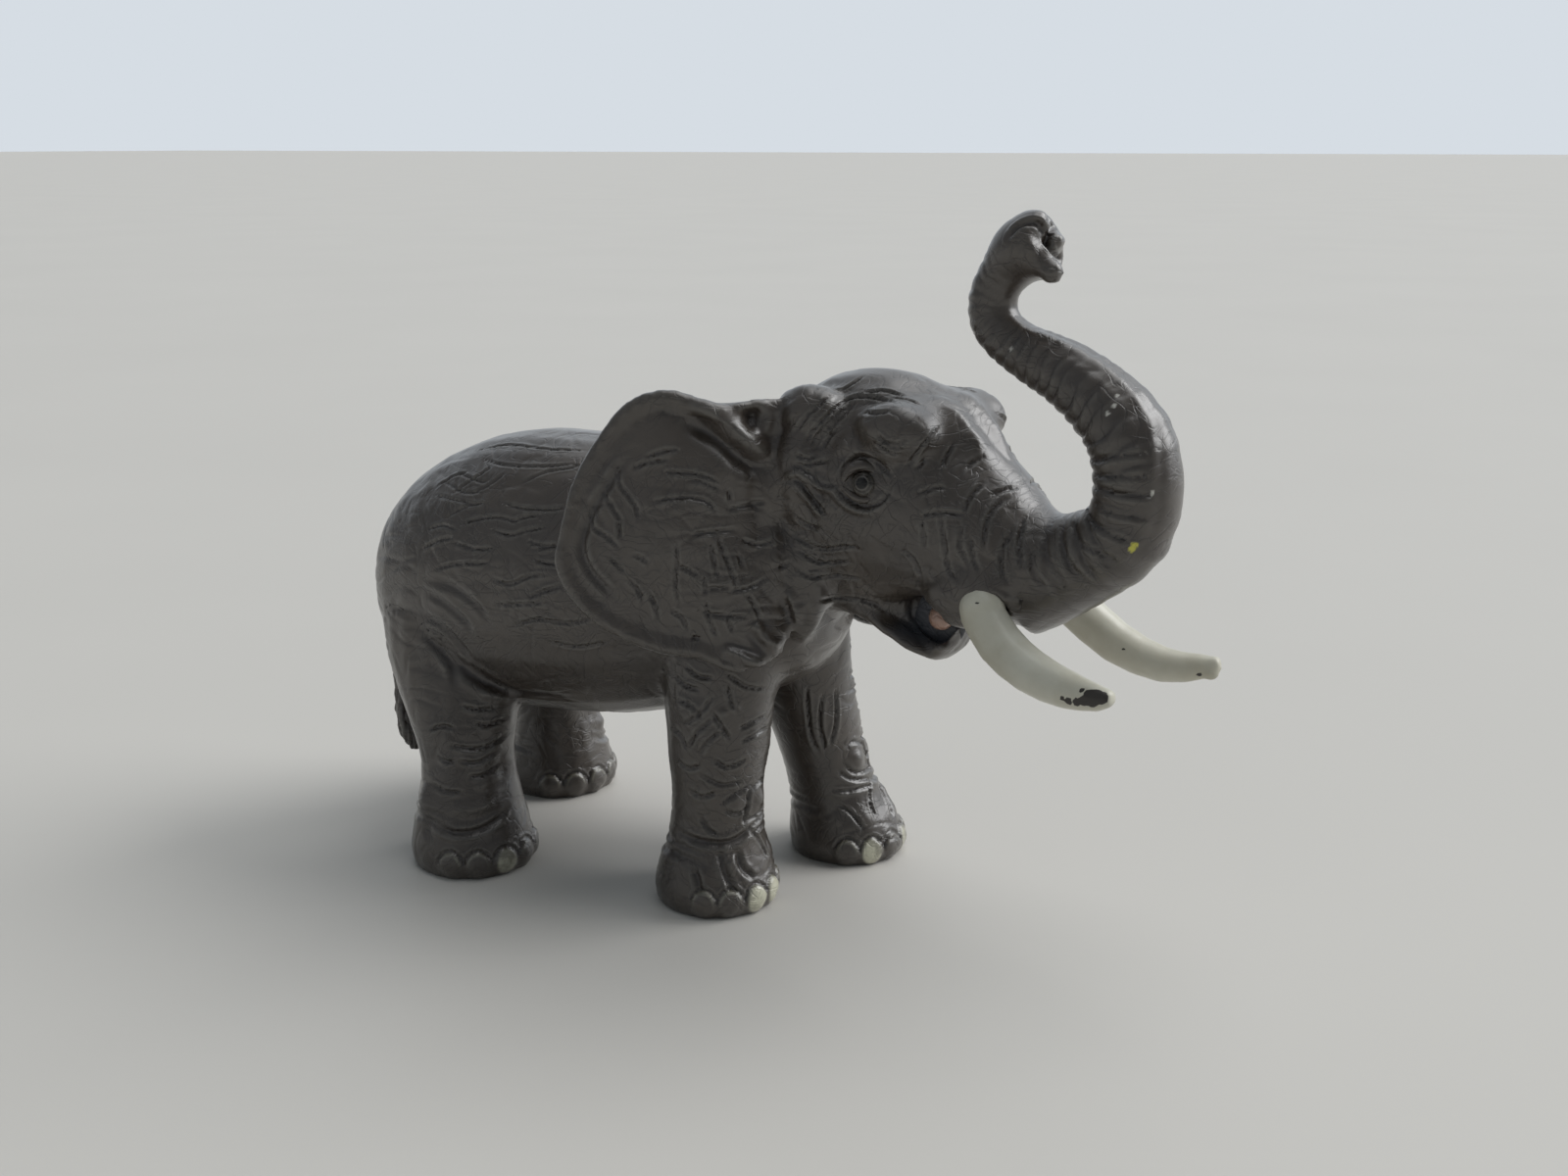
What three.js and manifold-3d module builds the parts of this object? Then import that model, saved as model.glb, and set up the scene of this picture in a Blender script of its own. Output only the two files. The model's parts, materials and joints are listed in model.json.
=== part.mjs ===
import * as THREE from "three";
import { mergeVertices } from "three/addons/utils/BufferGeometryUtils.js";
import Module from "manifold-3d";

// A toy elephant of moulded plastic that stands on four legs and lifts its trunk over its head.
// Millimetres, +Z up, the nose towards +X and the figure's own left towards +Y. The body is two
// hollow shells, and the legs, head, trunk, ears, tusks and tail are pegged into their seats.

const wasm = await Module();
wasm.setup();

// How the pieces fit.
const clearance = 0.3; // gap between two pieces that meet
const overrun = 2; // how far a cutting body runs past what it cuts
const pegSides = 16;

// Torso. The rump is at x = 0 and the ground at z = 0.
const torsoLength = 97.5; // rump to the front of the neck
const torsoWidth = 50;
const backHeight = 82.5; // top of the back above the ground
const shellWall = 3;
const torsoSides = 28;
const torsoRings = 2; // rings for each station of the table
const hollowRings = 1; // the same, inside

// Each row is a place along the torso, its underside, its back and its width, as shares of the
// torso's length, the height of the back (twice) and the torso's width.
const torsoShares = [
  [0, 0.594, 0.703, 0.2],
  [0.012, 0.503, 0.77, 0.42],
  [0.038, 0.418, 0.824, 0.6],
  [0.087, 0.349, 0.879, 0.74],
  [0.159, 0.31, 0.931, 0.85],
  [0.251, 0.308, 0.975, 0.93],
  [0.354, 0.327, 0.998, 0.98],
  [0.456, 0.335, 1, 1],
  [0.559, 0.348, 0.995, 0.98],
  [0.662, 0.376, 1, 0.92],
  [0.764, 0.415, 1.021, 0.84],
  [0.826, 0.434, 1.034, 0.78],
  [0.877, 0.455, 0.998, 0.72],
  [0.928, 0.485, 0.903, 0.63],
  [0.969, 0.527, 0.782, 0.5],
  [1, 0.588, 0.691, 0.28],
];

// Posts inside the shells: the right one ends in a pin and the left one in its socket.
const postRadius = 3.4;
const pinRadius = 1.7;
const pinLength = 5;
// Places of the posts, as shares of the torso's length and of the height of the back.
const postShares = [
  [0.16, 0.66],
  [0.5, 0.5],
  [0.62, 0.86],
];

// Legs.
const foreLegRadius = 8.5; // at the narrowest, above the ankle
const hindLegRadius = 9;
const legSides = 20;
const legRings = 1;
const legPegRadius = 3.4;
const legPegLength = 17;

// Each row is a height, as a share of the height of the back, how far the leg has moved from the
// foot to the hip, and its half length and half width as shares of the leg's radius.
const foreLegShares = [
  [0, 0, 1.28, 1.22],
  [0.036, 0, 1.35, 1.29],
  [0.067, 0.03, 1.3, 1.24],
  [0.103, 0.08, 1.2, 1.16],
  [0.145, 0.2, 1.06, 1.05],
  [0.206, 0.35, 0.99, 0.99],
  [0.279, 0.5, 1.01, 1],
  [0.339, 0.62, 1.09, 1.05],
  [0.4, 0.75, 1.13, 1.08],
  [0.473, 0.88, 1.25, 1.1],
  [0.545, 1, 1.38, 1.04],
  [0.618, 1, 1.4, 0.92],
  [0.69, 1, 1.1, 0.6],
];
const hindLegShares = [
  [0, 0, 1.29, 1.24],
  [0.036, 0, 1.35, 1.3],
  [0.067, 0, 1.31, 1.27],
  [0.103, 0.03, 1.24, 1.2],
  [0.145, 0.06, 1.13, 1.12],
  [0.206, 0.1, 1.02, 1.02],
  [0.267, 0.2, 1.02, 1],
  [0.327, 0.4, 1.18, 1.08],
  [0.388, 0.65, 1.42, 1.12],
  [0.473, 0.9, 1.68, 1.12],
  [0.57, 1, 1.76, 1.08],
  [0.667, 1, 1.52, 0.9],
  [0.74, 1, 1.1, 0.62],
];

// Where each leg stands and hangs: shares of the torso's length, and of its half width, and the
// height of the seat of its peg as a share of the height of the back. Left is positive.
const foreSeatShare = 0.5;
const hindSeatShare = 0.366;
const legPlaces = [
  { name: "front_left_leg", fore: true, footShares: [0.936, 0.7], hipShares: [0.836, 0.5] },
  { name: "front_right_leg", fore: true, footShares: [0.807, -0.56], hipShares: [0.81, -0.48] },
  { name: "rear_left_leg", fore: false, footShares: [0.208, 0.88], hipShares: [0.21, 0.5] },
  { name: "rear_right_leg", fore: false, footShares: [0.285, -0.78], hipShares: [0.21, -0.5] },
];

// Head. Its frame starts ahead of the neck, at the height of the throat, and is turned to the right.
const neckReach = 2; // from the torso's front to the axis on which the head is turned
const headTurn = -12; // degrees
const throatShare = 0.6545; // height of the throat, as a share of the height of the back
const headLength = 57; // nape to face
const headHeight = 44; // throat to crown
const headWidth = 31;
const headSides = 24;
const headRings = 2;
const headBackShare = 0.298; // part of the head's length that lies behind the axis

// Each row is a place along the head, its underside, its top and its width, as shares of the
// head's length, height (twice) and width.
const headShares = [
  [0, 0.43, 0.75, 0.5],
  [0.07, 0.205, 0.823, 0.78],
  [0.158, 0.07, 0.905, 0.9],
  [0.246, 0.014, 0.968, 0.97],
  [0.351, 0.011, 1, 1],
  [0.474, 0.07, 1, 0.99],
  [0.579, 0.1, 0.964, 0.97],
  [0.684, 0.09, 0.886, 0.91],
  [0.798, 0.09, 0.748, 0.8],
  [0.886, 0.09, 0.652, 0.71],
  [0.965, 0.09, 0.548, 0.63],
  [1.061, 0.1, 0.52, 0.6],
];

// The lower jaw, in the same shares. It hangs open and its tip turns up.
const jawSides = 14;
const jawShares = [
  [0.263, 0.02, 0.26, 0.6],
  [0.404, 0, 0.18, 0.58],
  [0.509, -0.03, 0.09, 0.5],
  [0.614, -0.085, 0.03, 0.4],
  [0.693, -0.115, 0.01, 0.29],
  [0.723, -0.07, 0.02, 0.16],
];

// Brow, tusk sheath and eyeball: places as shares of the head's length, half width and height,
// and half sizes as shares of its length, half width and height.
const lumpSides = 14;
const lumpRings = 8;
const brow = { placeShares: [0.59, 0.68, 0.81], sizeShares: [0.13, 0.32, 0.114] };
const sheath = { placeShares: [0.842, 0.53, 0.24], sizeShares: [0.14, 0.32, 0.16] };
const eyeball = { placeShares: [0.518, 0.9, 0.61], sizeShares: [0.045, 0.15, 0.05] };

// Neck plug, which the two shells close on.
const neckPlugRadius = 7;
const neckPlugLength = 15; // behind the head's axis
const neckPlugShares = [0.45, 0.28]; // its height in the head at its start and its end

// Trunk. It meets the face on a plane that leans back.
const faceShare = 1; // place of that plane along the head
const faceTilt = -12; // degrees
const trunkRootShares = [0.968, 0.3]; // place of the trunk's root along and up the head
const trunkReach = 16.5; // from the root to the front of the bend
const trunkRise = 53; // from the root to the tip
const trunkRootRadius = 9.1;
const trunkSides = 18;
const trunkRings = 2;
const trunkPlugRadius = 4.5;
const trunkPlugLength = 9;
// Each row is a place along and up, as shares of the reach and the rise, and a radius as a share
// of the radius at the root.
const trunkShares = [
  [-0.3, -0.043, 1.07],
  [0, 0, 1.03],
  [0.62, 0.092, 0.82],
  [0.93, 0.175, 0.78],
  [1, 0.33, 0.78],
  [0.865, 0.457, 0.74],
  [0.565, 0.549, 0.65],
  [0.145, 0.628, 0.56],
  [-0.34, 0.685, 0.475],
  [-0.64, 0.758, 0.46],
  [-0.66, 0.849, 0.44],
  [-0.51, 0.917, 0.475],
  [-0.36, 0.972, 0.6],
  [-0.17, 0.998, 0.63],
  [-0.08, 1.008, 0.55],
];
const nostrilRadius = 1.3;
const nostrilDepth = 3.5;
const nostrilSpread = 2; // from the trunk's middle to the middle of a nostril

// Tusks.
const leftTuskReach = 29.5; // forward from the base
const leftTuskDrop = 12; // down from the base to the lowest bend
const rightTuskReach = 27;
const rightTuskDrop = 8.8;
const leftTuskSag = 1.8; // above 1 the tusk runs straighter from its base and bends later
const rightTuskSag = 1;
const tuskRadius = 3.8;
const tuskSpread = 6; // how far the tip stands out from the base, to its side
const tuskSides = 14;
const tuskRings = 2;
const tuskPegRadius = 2.2;
const tuskPegLength = 5;
const tuskBaseShares = [0.886, 0.71, 0.193]; // shares of the head's length, half width and height
// Each row is a place forward, outward and down, and a radius, as shares of the tusk's sizes.
const tuskShares = [
  [0, 0, 0, 0.97],
  [0.17, 0.2, 0.53, 1],
  [0.41, 0.45, 0.86, 0.95],
  [0.69, 0.7, 1, 0.8],
  [0.91, 0.92, 0.97, 0.55],
  [1, 1, 0.92, 0.28],
];
const tuskPlaces = [
  { name: "left_tusk", side: 1, reach: leftTuskReach, drop: leftTuskDrop, sag: leftTuskSag },
  { name: "right_tusk", side: -1, reach: rightTuskReach, drop: rightTuskDrop, sag: rightTuskSag },
];

// Ears.
const earLength = 41.5;
const earHeight = 48;
const earThickness = 3;
const earBow = 2.6; // how far the middle stands out from the rim
const earLobeLift = 5; // how far the lowest point stands out
const earRootBend = 7; // how far the front edge turns in to the head
const earRootLength = 14; // the part of the ear, from its front edge, that turns in
const earSides = 30;
const earRings = 12;
const earTabLength = 3;
const earTabHeight = 6;
const earTabDepth = 8;
const earTabShares = [0.14, 0.74]; // place on the ear
const earHingeShares = [0.288, 1.04]; // shares of the head's length and half width
const earMiddleShares = [0.48, 0.55]; // the point that the outline is drawn round
// Outline of the ear from the top of its root, backwards and round, as shares of its length,
// measured back from the front edge, and of its height.
const earOutlineShares = [
  [0.065, 0.988],
  [0.32, 0.965],
  [0.53, 1],
  [0.69, 0.952],
  [0.82, 0.824],
  [0.93, 0.669],
  [0.993, 0.445],
  [1, 0.362],
  [0.93, 0.25],
  [0.79, 0.149],
  [0.567, 0.077],
  [0.363, 0.056],
  [0.218, 0],
  [0.05, 0.048],
  [0, 0.147],
  [0.037, 0.348],
  [0.134, 0.58],
  [0.06, 0.8],
];
// How far each ear stands away from the head and hangs down to its rear, in degrees, and the
// height of its tab as a share of the head's height.
const earPlaces = [
  { name: "left_ear", side: 1, flare: 16, droop: 14, heightShare: 0.587 },
  { name: "right_ear", side: -1, flare: 29, droop: 0, heightShare: 0.639 },
];

// Tail, which hangs down the rump and ends in a tuft.
const tailLength = 39; // from its root down to the tip
const tailRadius = 1.9;
const tailSides = 10;
const tailRings = 2;
const tailPegRadius = 1.5;
const tailPegLength = 7;
const tailRootShare = 0.636; // height of the root, as a share of the height of the back
// Each row is a place back from the rump, to the left and down, and a radius, as shares of the
// tail's length (three times) and of its radius.
const tailShares = [
  [-0.023, 0, 0, 1.2],
  [0.069, -0.038, 0.038, 1.15],
  [0.09, -0.064, 0.192, 1],
  [0.046, -0.09, 0.449, 0.87],
  [-0.008, -0.115, 0.654, 0.95],
  [-0.026, -0.128, 0.782, 1.3],
  [-0.069, -0.141, 0.897, 1.4],
  [-0.103, -0.154, 0.992, 0.5],
];

// Plastics.
const hide = { color: 0x6c6559, roughness: 0.5, metalness: 0 };
const ivoryPaint = { color: 0xd8d1bc, roughness: 0.45, metalness: 0 };

const forwards = new THREE.Vector3(1, 0, 0);
const leftwards = new THREE.Vector3(0, 1, 0);
const upwards = new THREE.Vector3(0, 0, 1);
const radians = THREE.MathUtils.degToRad;

// A closed geometry as a solid that can be joined and cut.
function solidOf(geometry) {
  const bare = geometry.clone();
  bare.deleteAttribute("normal");
  bare.deleteAttribute("uv");
  const merged = mergeVertices(bare);
  const vertProperties = merged.attributes.position.array;
  const triVerts = new Uint32Array(merged.index.array);
  return new wasm.Manifold(new wasm.Mesh({ numProp: 3, vertProperties, triVerts }));
}

// A solid as a geometry again.
function geometryOf(solid) {
  const mesh = solid.getMesh();
  const geometry = new THREE.BufferGeometry();
  geometry.setAttribute("position", new THREE.BufferAttribute(mesh.vertProperties, 3));
  geometry.setIndex(new THREE.BufferAttribute(mesh.triVerts, 1));
  return geometry;
}

// A closed body through stations of a centre and two half sizes. Its rings stand square to
// `run`, or to the line of the centres where no run is given. The grown body is larger all round.
function loftedBody(stations, sides, ringsEach, run = null, grown = 0) {
  const centres = new THREE.CatmullRomCurve3(stations.map((station) => station.centre));
  const halfSizes = stations.map((station) => new THREE.Vector3(station.wide, station.deep, 0));
  const sizes = new THREE.CatmullRomCurve3(halfSizes);
  const rings = (stations.length - 1) * ringsEach;
  const geometry = new THREE.CylinderGeometry(1, 1, 1, sides, rings);
  const places = geometry.attributes.position;
  const unit = new THREE.Vector3();
  for (let i = 0; i < places.count; i += 1) {
    unit.fromBufferAttribute(places, i);
    const share = THREE.MathUtils.clamp(unit.y + 0.5, 0, 1);
    const along = run ?? centres.getTangent(share);
    const deep = new THREE.Vector3().crossVectors(leftwards, along).normalize();
    const wide = new THREE.Vector3().crossVectors(along, deep);
    const size = sizes.getPoint(share);
    const place = centres.getPoint(share);
    place.addScaledVector(along, grown * (2 * share - 1));
    place.addScaledVector(wide, unit.x * (size.x + grown));
    place.addScaledVector(deep, unit.z * (size.y + grown));
    places.setXYZ(i, place.x, place.y, place.z);
  }
  return geometry;
}

// A round peg from one point towards another.
function pegBetween(start, end, radius) {
  const run = new THREE.Vector3().subVectors(end, start);
  const geometry = new THREE.CylinderGeometry(radius, radius, run.length(), pegSides);
  const turn = new THREE.Quaternion().setFromUnitVectors(leftwards, run.clone().normalize());
  geometry.applyQuaternion(turn);
  const middle = new THREE.Vector3().addVectors(start, end).multiplyScalar(0.5);
  return geometry.translate(middle.x, middle.y, middle.z);
}

// The peg's hole: wider all round, deeper at its end and open at its start.
function pegHole(start, end, radius) {
  const run = new THREE.Vector3().subVectors(end, start).normalize();
  const deepEnd = end.clone().addScaledVector(run, clearance);
  return pegBetween(start, deepEnd, radius + clearance);
}

// An egg-shaped lump.
function lump(middle, halfSizes) {
  const geometry = new THREE.SphereGeometry(1, lumpSides, lumpRings);
  geometry.scale(...halfSizes);
  return geometry.translate(middle.x, middle.y, middle.z);
}

// Torso: a lofted body, its hollow, and the posts that line the two shells up.
function torsoBody(grown, rings = torsoRings) {
  const stations = torsoShares.map(([along, underside, back, width]) => {
    const middle = ((underside + back) / 2) * backHeight;
    return {
      centre: new THREE.Vector3(along * torsoLength, 0, middle),
      wide: (width * torsoWidth) / 2,
      deep: ((back - underside) / 2) * backHeight,
    };
  });
  return solidOf(loftedBody(stations, torsoSides, rings, forwards, grown));
}

// The half of space to one side of the middle plane, as far as the torso needs it.
function sideBlock(side) {
  const width = torsoWidth + overrun;
  const block = new THREE.BoxGeometry(torsoLength * 2, width, backHeight * 3);
  return solidOf(block.translate(0, (side * (width + clearance)) / 2, backHeight));
}

function shellPost(side, [along, height]) {
  const foot = new THREE.Vector3(along * torsoLength, (side * clearance) / 2, height * backHeight);
  const end = foot.clone().setY((side * torsoWidth) / 2);
  return solidOf(pegBetween(foot, end, postRadius));
}

function postPin(grown, [along, height]) {
  const start = new THREE.Vector3(along * torsoLength, -pinLength, height * backHeight);
  const end = start.clone().setY(pinLength + grown);
  return solidOf(pegBetween(start, end, pinRadius + grown));
}

function torsoShell(side) {
  const outside = torsoBody(0);
  const hollow = torsoBody(-shellWall, hollowRings);
  let shell = outside.subtract(hollow);
  for (const place of postShares) {
    shell = shell.add(shellPost(side, place).intersect(outside));
  }
  shell = shell.intersect(sideBlock(side));
  for (const place of postShares) {
    const isPinned = side < 0;
    shell = isPinned ? shell.add(postPin(0, place)) : shell.subtract(postPin(clearance, place));
  }
  return shell;
}

// Legs: each one runs from a flat sole to a hip inside the torso's outline.
function legStations({ fore, footShares, hipShares }) {
  const table = fore ? foreLegShares : hindLegShares;
  const radius = fore ? foreLegRadius : hindLegRadius;
  return table.map(([height, lean, long, wide]) => {
    const along = THREE.MathUtils.lerp(footShares[0], hipShares[0], lean);
    const aside = THREE.MathUtils.lerp(footShares[1], hipShares[1], lean);
    const place = [along * torsoLength, (aside * torsoWidth) / 2, height * backHeight];
    return { centre: new THREE.Vector3(...place), wide: wide * radius, deep: long * radius };
  });
}

function legBody(leg, grown) {
  return solidOf(loftedBody(legStations(leg), legSides, legRings, upwards, grown));
}

function legPegEnds({ fore, hipShares }) {
  const seat = (fore ? foreSeatShare : hindSeatShare) * backHeight;
  const hip = [hipShares[0] * torsoLength, (hipShares[1] * torsoWidth) / 2];
  const start = new THREE.Vector3(...hip, seat - legPegLength / 2);
  const end = new THREE.Vector3(...hip, seat + legPegLength / 2);
  return [start, end];
}

// The head's frame, in which its own pieces are laid out.
const headFrame = new THREE.Group();
headFrame.position.set(torsoLength + neckReach, 0, throatShare * backHeight);
headFrame.rotation.z = radians(headTurn);
headFrame.updateMatrix();

function headPoint([along, aside, height]) {
  const x = (along - headBackShare) * headLength;
  return new THREE.Vector3(x, (aside * headWidth) / 2, height * headHeight);
}

function headLoft(shares, sides, ringsEach, grown) {
  const stations = shares.map(([along, underside, top, width]) => ({
    centre: headPoint([along, 0, (underside + top) / 2]),
    wide: (width * headWidth) / 2,
    deep: ((top - underside) / 2) * headHeight,
  }));
  return loftedBody(stations, sides, ringsEach, forwards, grown);
}

// A geometry drawn in the head's frame, as a solid in the figure's frame.
function headSolid(geometry) {
  return solidOf(geometry.applyMatrix4(headFrame.matrix));
}

// A block with one face on the plane between face and trunk: in front of it, or behind it (-1).
function faceBlock(side, gap) {
  const block = new THREE.BoxGeometry(headLength, headWidth * 2, headHeight);
  block.translate((side * headLength) / 2 + gap, 0, 0);
  block.rotateY(-radians(faceTilt));
  const face = headPoint([faceShare, 0, trunkRootShares[1]]);
  return headSolid(block.translate(face.x, face.y, face.z));
}

// Skull, jaw, brows, tusk sheaths and eyes, without the cuts for what fits in.
function headBody(grown) {
  let body = headSolid(headLoft(headShares, headSides, headRings, grown));
  body = body.add(headSolid(headLoft(jawShares, jawSides, headRings, grown)));
  for (const side of [1, -1]) {
    for (const { placeShares, sizeShares } of [brow, sheath, eyeball]) {
      const [along, aside, height] = placeShares;
      const [long, wide, deep] = sizeShares;
      const halfSizes = [long * headLength, (wide * headWidth) / 2, deep * headHeight];
      const middle = headPoint([along, side * aside, height]);
      body = body.add(headSolid(lump(middle, halfSizes.map((half) => half + grown))));
    }
  }
  return body;
}

function neckPlugEnds() {
  const [startHeight, endHeight] = neckPlugShares;
  const start = headPoint([headBackShare, 0, startHeight]);
  return [start, headPoint([headBackShare, 0, endHeight]).setX(-neckPlugLength)];
}

// Trunk.
function trunkPoint([along, up]) {
  const [rootAlong, rootUp] = trunkRootShares;
  const root = headPoint([rootAlong, 0, rootUp]);
  return root.add(new THREE.Vector3(along * trunkReach, 0, up * trunkRise));
}

function trunkBody() {
  const stations = trunkShares.map(([along, up, share]) => {
    const radius = share * trunkRootRadius;
    return { centre: trunkPoint([along, up]), wide: radius, deep: radius };
  });
  return headSolid(loftedBody(stations, trunkSides, trunkRings));
}

function trunkPlugEnds() {
  const start = trunkPoint(trunkShares[2]);
  const face = trunkPoint(trunkShares[1]);
  const run = new THREE.Vector3().subVectors(face, start).normalize();
  return [start, face.addScaledVector(run, trunkPlugLength)];
}

function nostril(side) {
  const tip = trunkPoint(trunkShares[trunkShares.length - 1]);
  const before = trunkPoint(trunkShares[trunkShares.length - 2]);
  const run = new THREE.Vector3().subVectors(tip, before).normalize();
  tip.y += side * nostrilSpread;
  const mouth = tip.clone().addScaledVector(run, overrun);
  const end = tip.clone().addScaledVector(run, -nostrilDepth);
  return headSolid(pegBetween(end, mouth, nostrilRadius));
}

// Tusks.
function tuskPoint({ side, reach, drop, sag }, [along, out, down]) {
  const [baseAlong, baseAside, baseHeight] = tuskBaseShares;
  const base = headPoint([baseAlong, side * baseAside, baseHeight]);
  return base.add(new THREE.Vector3(along * reach, side * out * tuskSpread, -(down ** sag) * drop));
}

function tuskBody(tusk, grown) {
  const stations = tuskShares.map(([along, out, down, share]) => {
    const radius = share * tuskRadius;
    return { centre: tuskPoint(tusk, [along, out, down]), wide: radius, deep: radius };
  });
  return headSolid(loftedBody(stations, tuskSides, tuskRings, null, grown));
}

function tuskPegEnds(tusk) {
  const next = tuskPoint(tusk, tuskShares[1]);
  const base = tuskPoint(tusk, tuskShares[0]);
  const run = new THREE.Vector3().subVectors(base, next).normalize();
  return [next, base.addScaledVector(run, tuskPegLength)];
}

// Ears: a thin round-edged sheet, drawn flat with the rear towards -X and its outer face
// towards +Y for the left ear, then bowed and hung beside the head.
function earSheet(side) {
  const outline = new THREE.CatmullRomCurve3(
    earOutlineShares.map(([back, up]) => new THREE.Vector3(-back * earLength, 0, up * earHeight)),
    true,
  );
  const [back, up] = earMiddleShares;
  const middle = new THREE.Vector3(-back * earLength, 0, up * earHeight);
  const geometry = new THREE.SphereGeometry(1, earSides, earRings);
  const places = geometry.attributes.position;
  const unit = new THREE.Vector3();
  for (let i = 0; i < places.count; i += 1) {
    unit.fromBufferAttribute(places, i);
    const out = Math.min(Math.hypot(unit.x, unit.z), 1);
    const round = Math.atan2(unit.z, unit.x) / (2 * Math.PI);
    const rim = outline.getPoint(THREE.MathUtils.euclideanModulo(side * round, 1));
    const place = rim.sub(middle).multiplyScalar(out).add(middle);
    const lift = earLobeLift * Math.max(1 - place.z / earHeight, 0) ** 2;
    const bow = earBow * (1 - out * out) + lift - earRootTurn(-place.x, place.z);
    place.y = side * ((unit.y * earThickness) / 2 + bow);
    places.setXYZ(i, place.x, place.y, place.z);
  }
  return geometry;
}

// How far the ear has turned in to the head: most at the front edge, and more at the top.
function earRootTurn(back, up) {
  const share = Math.max(1 - back / earRootLength, 0);
  return (earRootBend * share * share * (1 + up / earHeight)) / 2;
}

// Hangs what is drawn in the ear's own frame beside the head, turned about its tab.
function earHang({ side, flare, droop, heightShare }) {
  const pivot = earTabShares[1] * earHeight;
  const [along, aside] = earHingeShares;
  const hinge = headPoint([along, side * aside, heightShare]);
  return new THREE.Matrix4()
    .makeTranslation(hinge.x, hinge.y, hinge.z)
    .multiply(new THREE.Matrix4().makeRotationZ(radians(-side * flare)))
    .multiply(new THREE.Matrix4().makeRotationY(radians(-droop)))
    .multiply(new THREE.Matrix4().makeTranslation(0, 0, -pivot));
}

// The tab runs from the middle of the sheet straight in to the head.
function earTab(ear, grown) {
  const back = earTabShares[0] * earLength;
  const up = earTabShares[1] * earHeight;
  const start = new THREE.Vector3(-back, -ear.side * earRootTurn(back, up), up);
  start.applyMatrix4(earHang(ear));
  const depth = earTabDepth + grown;
  const tab = new THREE.BoxGeometry(earTabLength + grown * 2, depth, earTabHeight + grown * 2);
  return headSolid(tab.translate(start.x, start.y - (ear.side * depth) / 2, start.z));
}

// Tail.
function tailPoint([back, left, down]) {
  const root = tailRootShare * backHeight;
  return new THREE.Vector3(-back * tailLength, left * tailLength, root - down * tailLength);
}

function tailBody() {
  const stations = tailShares.map(([back, left, down, share]) => {
    const radius = share * tailRadius;
    return { centre: tailPoint([back, left, down]), wide: radius, deep: radius };
  });
  return solidOf(loftedBody(stations, tailSides, tailRings));
}

function tailPegEnds() {
  const start = tailPoint(tailShares[1]);
  return [start, start.clone().setX(tailPegLength)];
}

// The torso with room round it, which every piece that meets it is cut to.
const torsoRoom = torsoBody(clearance);

function inFigure(ends) {
  return ends.map((end) => end.applyMatrix4(headFrame.matrix));
}

function buildShells() {
  const [neckStart, neckEnd] = inFigure(neckPlugEnds());
  const [tailStart, tailEnd] = tailPegEnds();
  const holes = [
    solidOf(pegHole(neckStart, neckEnd, neckPlugRadius)),
    solidOf(pegHole(tailStart, tailEnd, tailPegRadius)),
    ...legPlaces.map((leg) => solidOf(pegHole(...legPegEnds(leg), legPegRadius))),
  ];
  const cut = (shell) => holes.reduce((rest, hole) => rest.subtract(hole), shell);
  return { left: cut(torsoShell(1)), right: cut(torsoShell(-1)) };
}

function buildLeg(leg) {
  const peg = solidOf(pegBetween(...legPegEnds(leg), legPegRadius));
  return legBody(leg, 0).subtract(torsoRoom).add(peg);
}

function buildHead() {
  const behindTrunk = headBody(0).subtract(faceBlock(1, 0)).subtract(torsoRoom);
  let head = behindTrunk.add(solidOf(pegBetween(...inFigure(neckPlugEnds()), neckPlugRadius)));
  head = head.subtract(solidOf(pegHole(...inFigure(trunkPlugEnds()), trunkPlugRadius)));
  for (const tusk of tuskPlaces) {
    head = head.subtract(tuskBody(tusk, clearance));
    head = head.subtract(solidOf(pegHole(...inFigure(tuskPegEnds(tusk)), tuskPegRadius)));
  }
  for (const ear of earPlaces) {
    head = head.subtract(earTab(ear, clearance));
  }
  return head;
}

function buildTrunk() {
  let trunk = trunkBody().subtract(faceBlock(-1, clearance));
  trunk = trunk.add(solidOf(pegBetween(...inFigure(trunkPlugEnds()), trunkPlugRadius)));
  for (const side of [1, -1]) {
    trunk = trunk.subtract(nostril(side));
  }
  return trunk;
}

function buildTusk(tusk) {
  const peg = solidOf(pegBetween(...inFigure(tuskPegEnds(tusk)), tuskPegRadius));
  return tuskBody(tusk, 0).add(peg);
}

function buildEar(ear, headRoom) {
  let sheet = headSolid(earSheet(ear.side).applyMatrix4(earHang(ear)));
  sheet = sheet.subtract(headRoom).subtract(torsoRoom);
  for (const leg of legPlaces) {
    sheet = sheet.subtract(legBody(leg, clearance));
  }
  return sheet.add(earTab(ear, 0));
}

function buildTail() {
  const peg = solidOf(pegBetween(...tailPegEnds(), tailPegRadius));
  return tailBody().subtract(torsoRoom).add(peg);
}

// One named mesh in a group, from a solid in the figure's frame.
function placePiece(group, name, solid, finish) {
  const geometry = geometryOf(solid);
  geometry.applyMatrix4(group.matrix.clone().invert());
  const mesh = new THREE.Mesh(geometry, new THREE.MeshStandardMaterial(finish));
  mesh.name = name;
  group.add(mesh);
}

const figure = new THREE.Group();
figure.add(headFrame);

const shells = buildShells();
placePiece(figure, "body_left_shell", shells.left, hide);
placePiece(figure, "body_right_shell", shells.right, hide);
for (const leg of legPlaces) {
  placePiece(figure, leg.name, buildLeg(leg), hide);
}
placePiece(figure, "tail", buildTail(), hide);
placePiece(headFrame, "head", buildHead(), hide);
placePiece(headFrame, "trunk", buildTrunk(), hide);
const headRoom = headBody(clearance);
for (const ear of earPlaces) {
  placePiece(headFrame, ear.name, buildEar(ear, headRoom), hide);
}
for (const tusk of tuskPlaces) {
  placePiece(headFrame, tusk.name, buildTusk(tusk), ivoryPaint);
}

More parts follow.
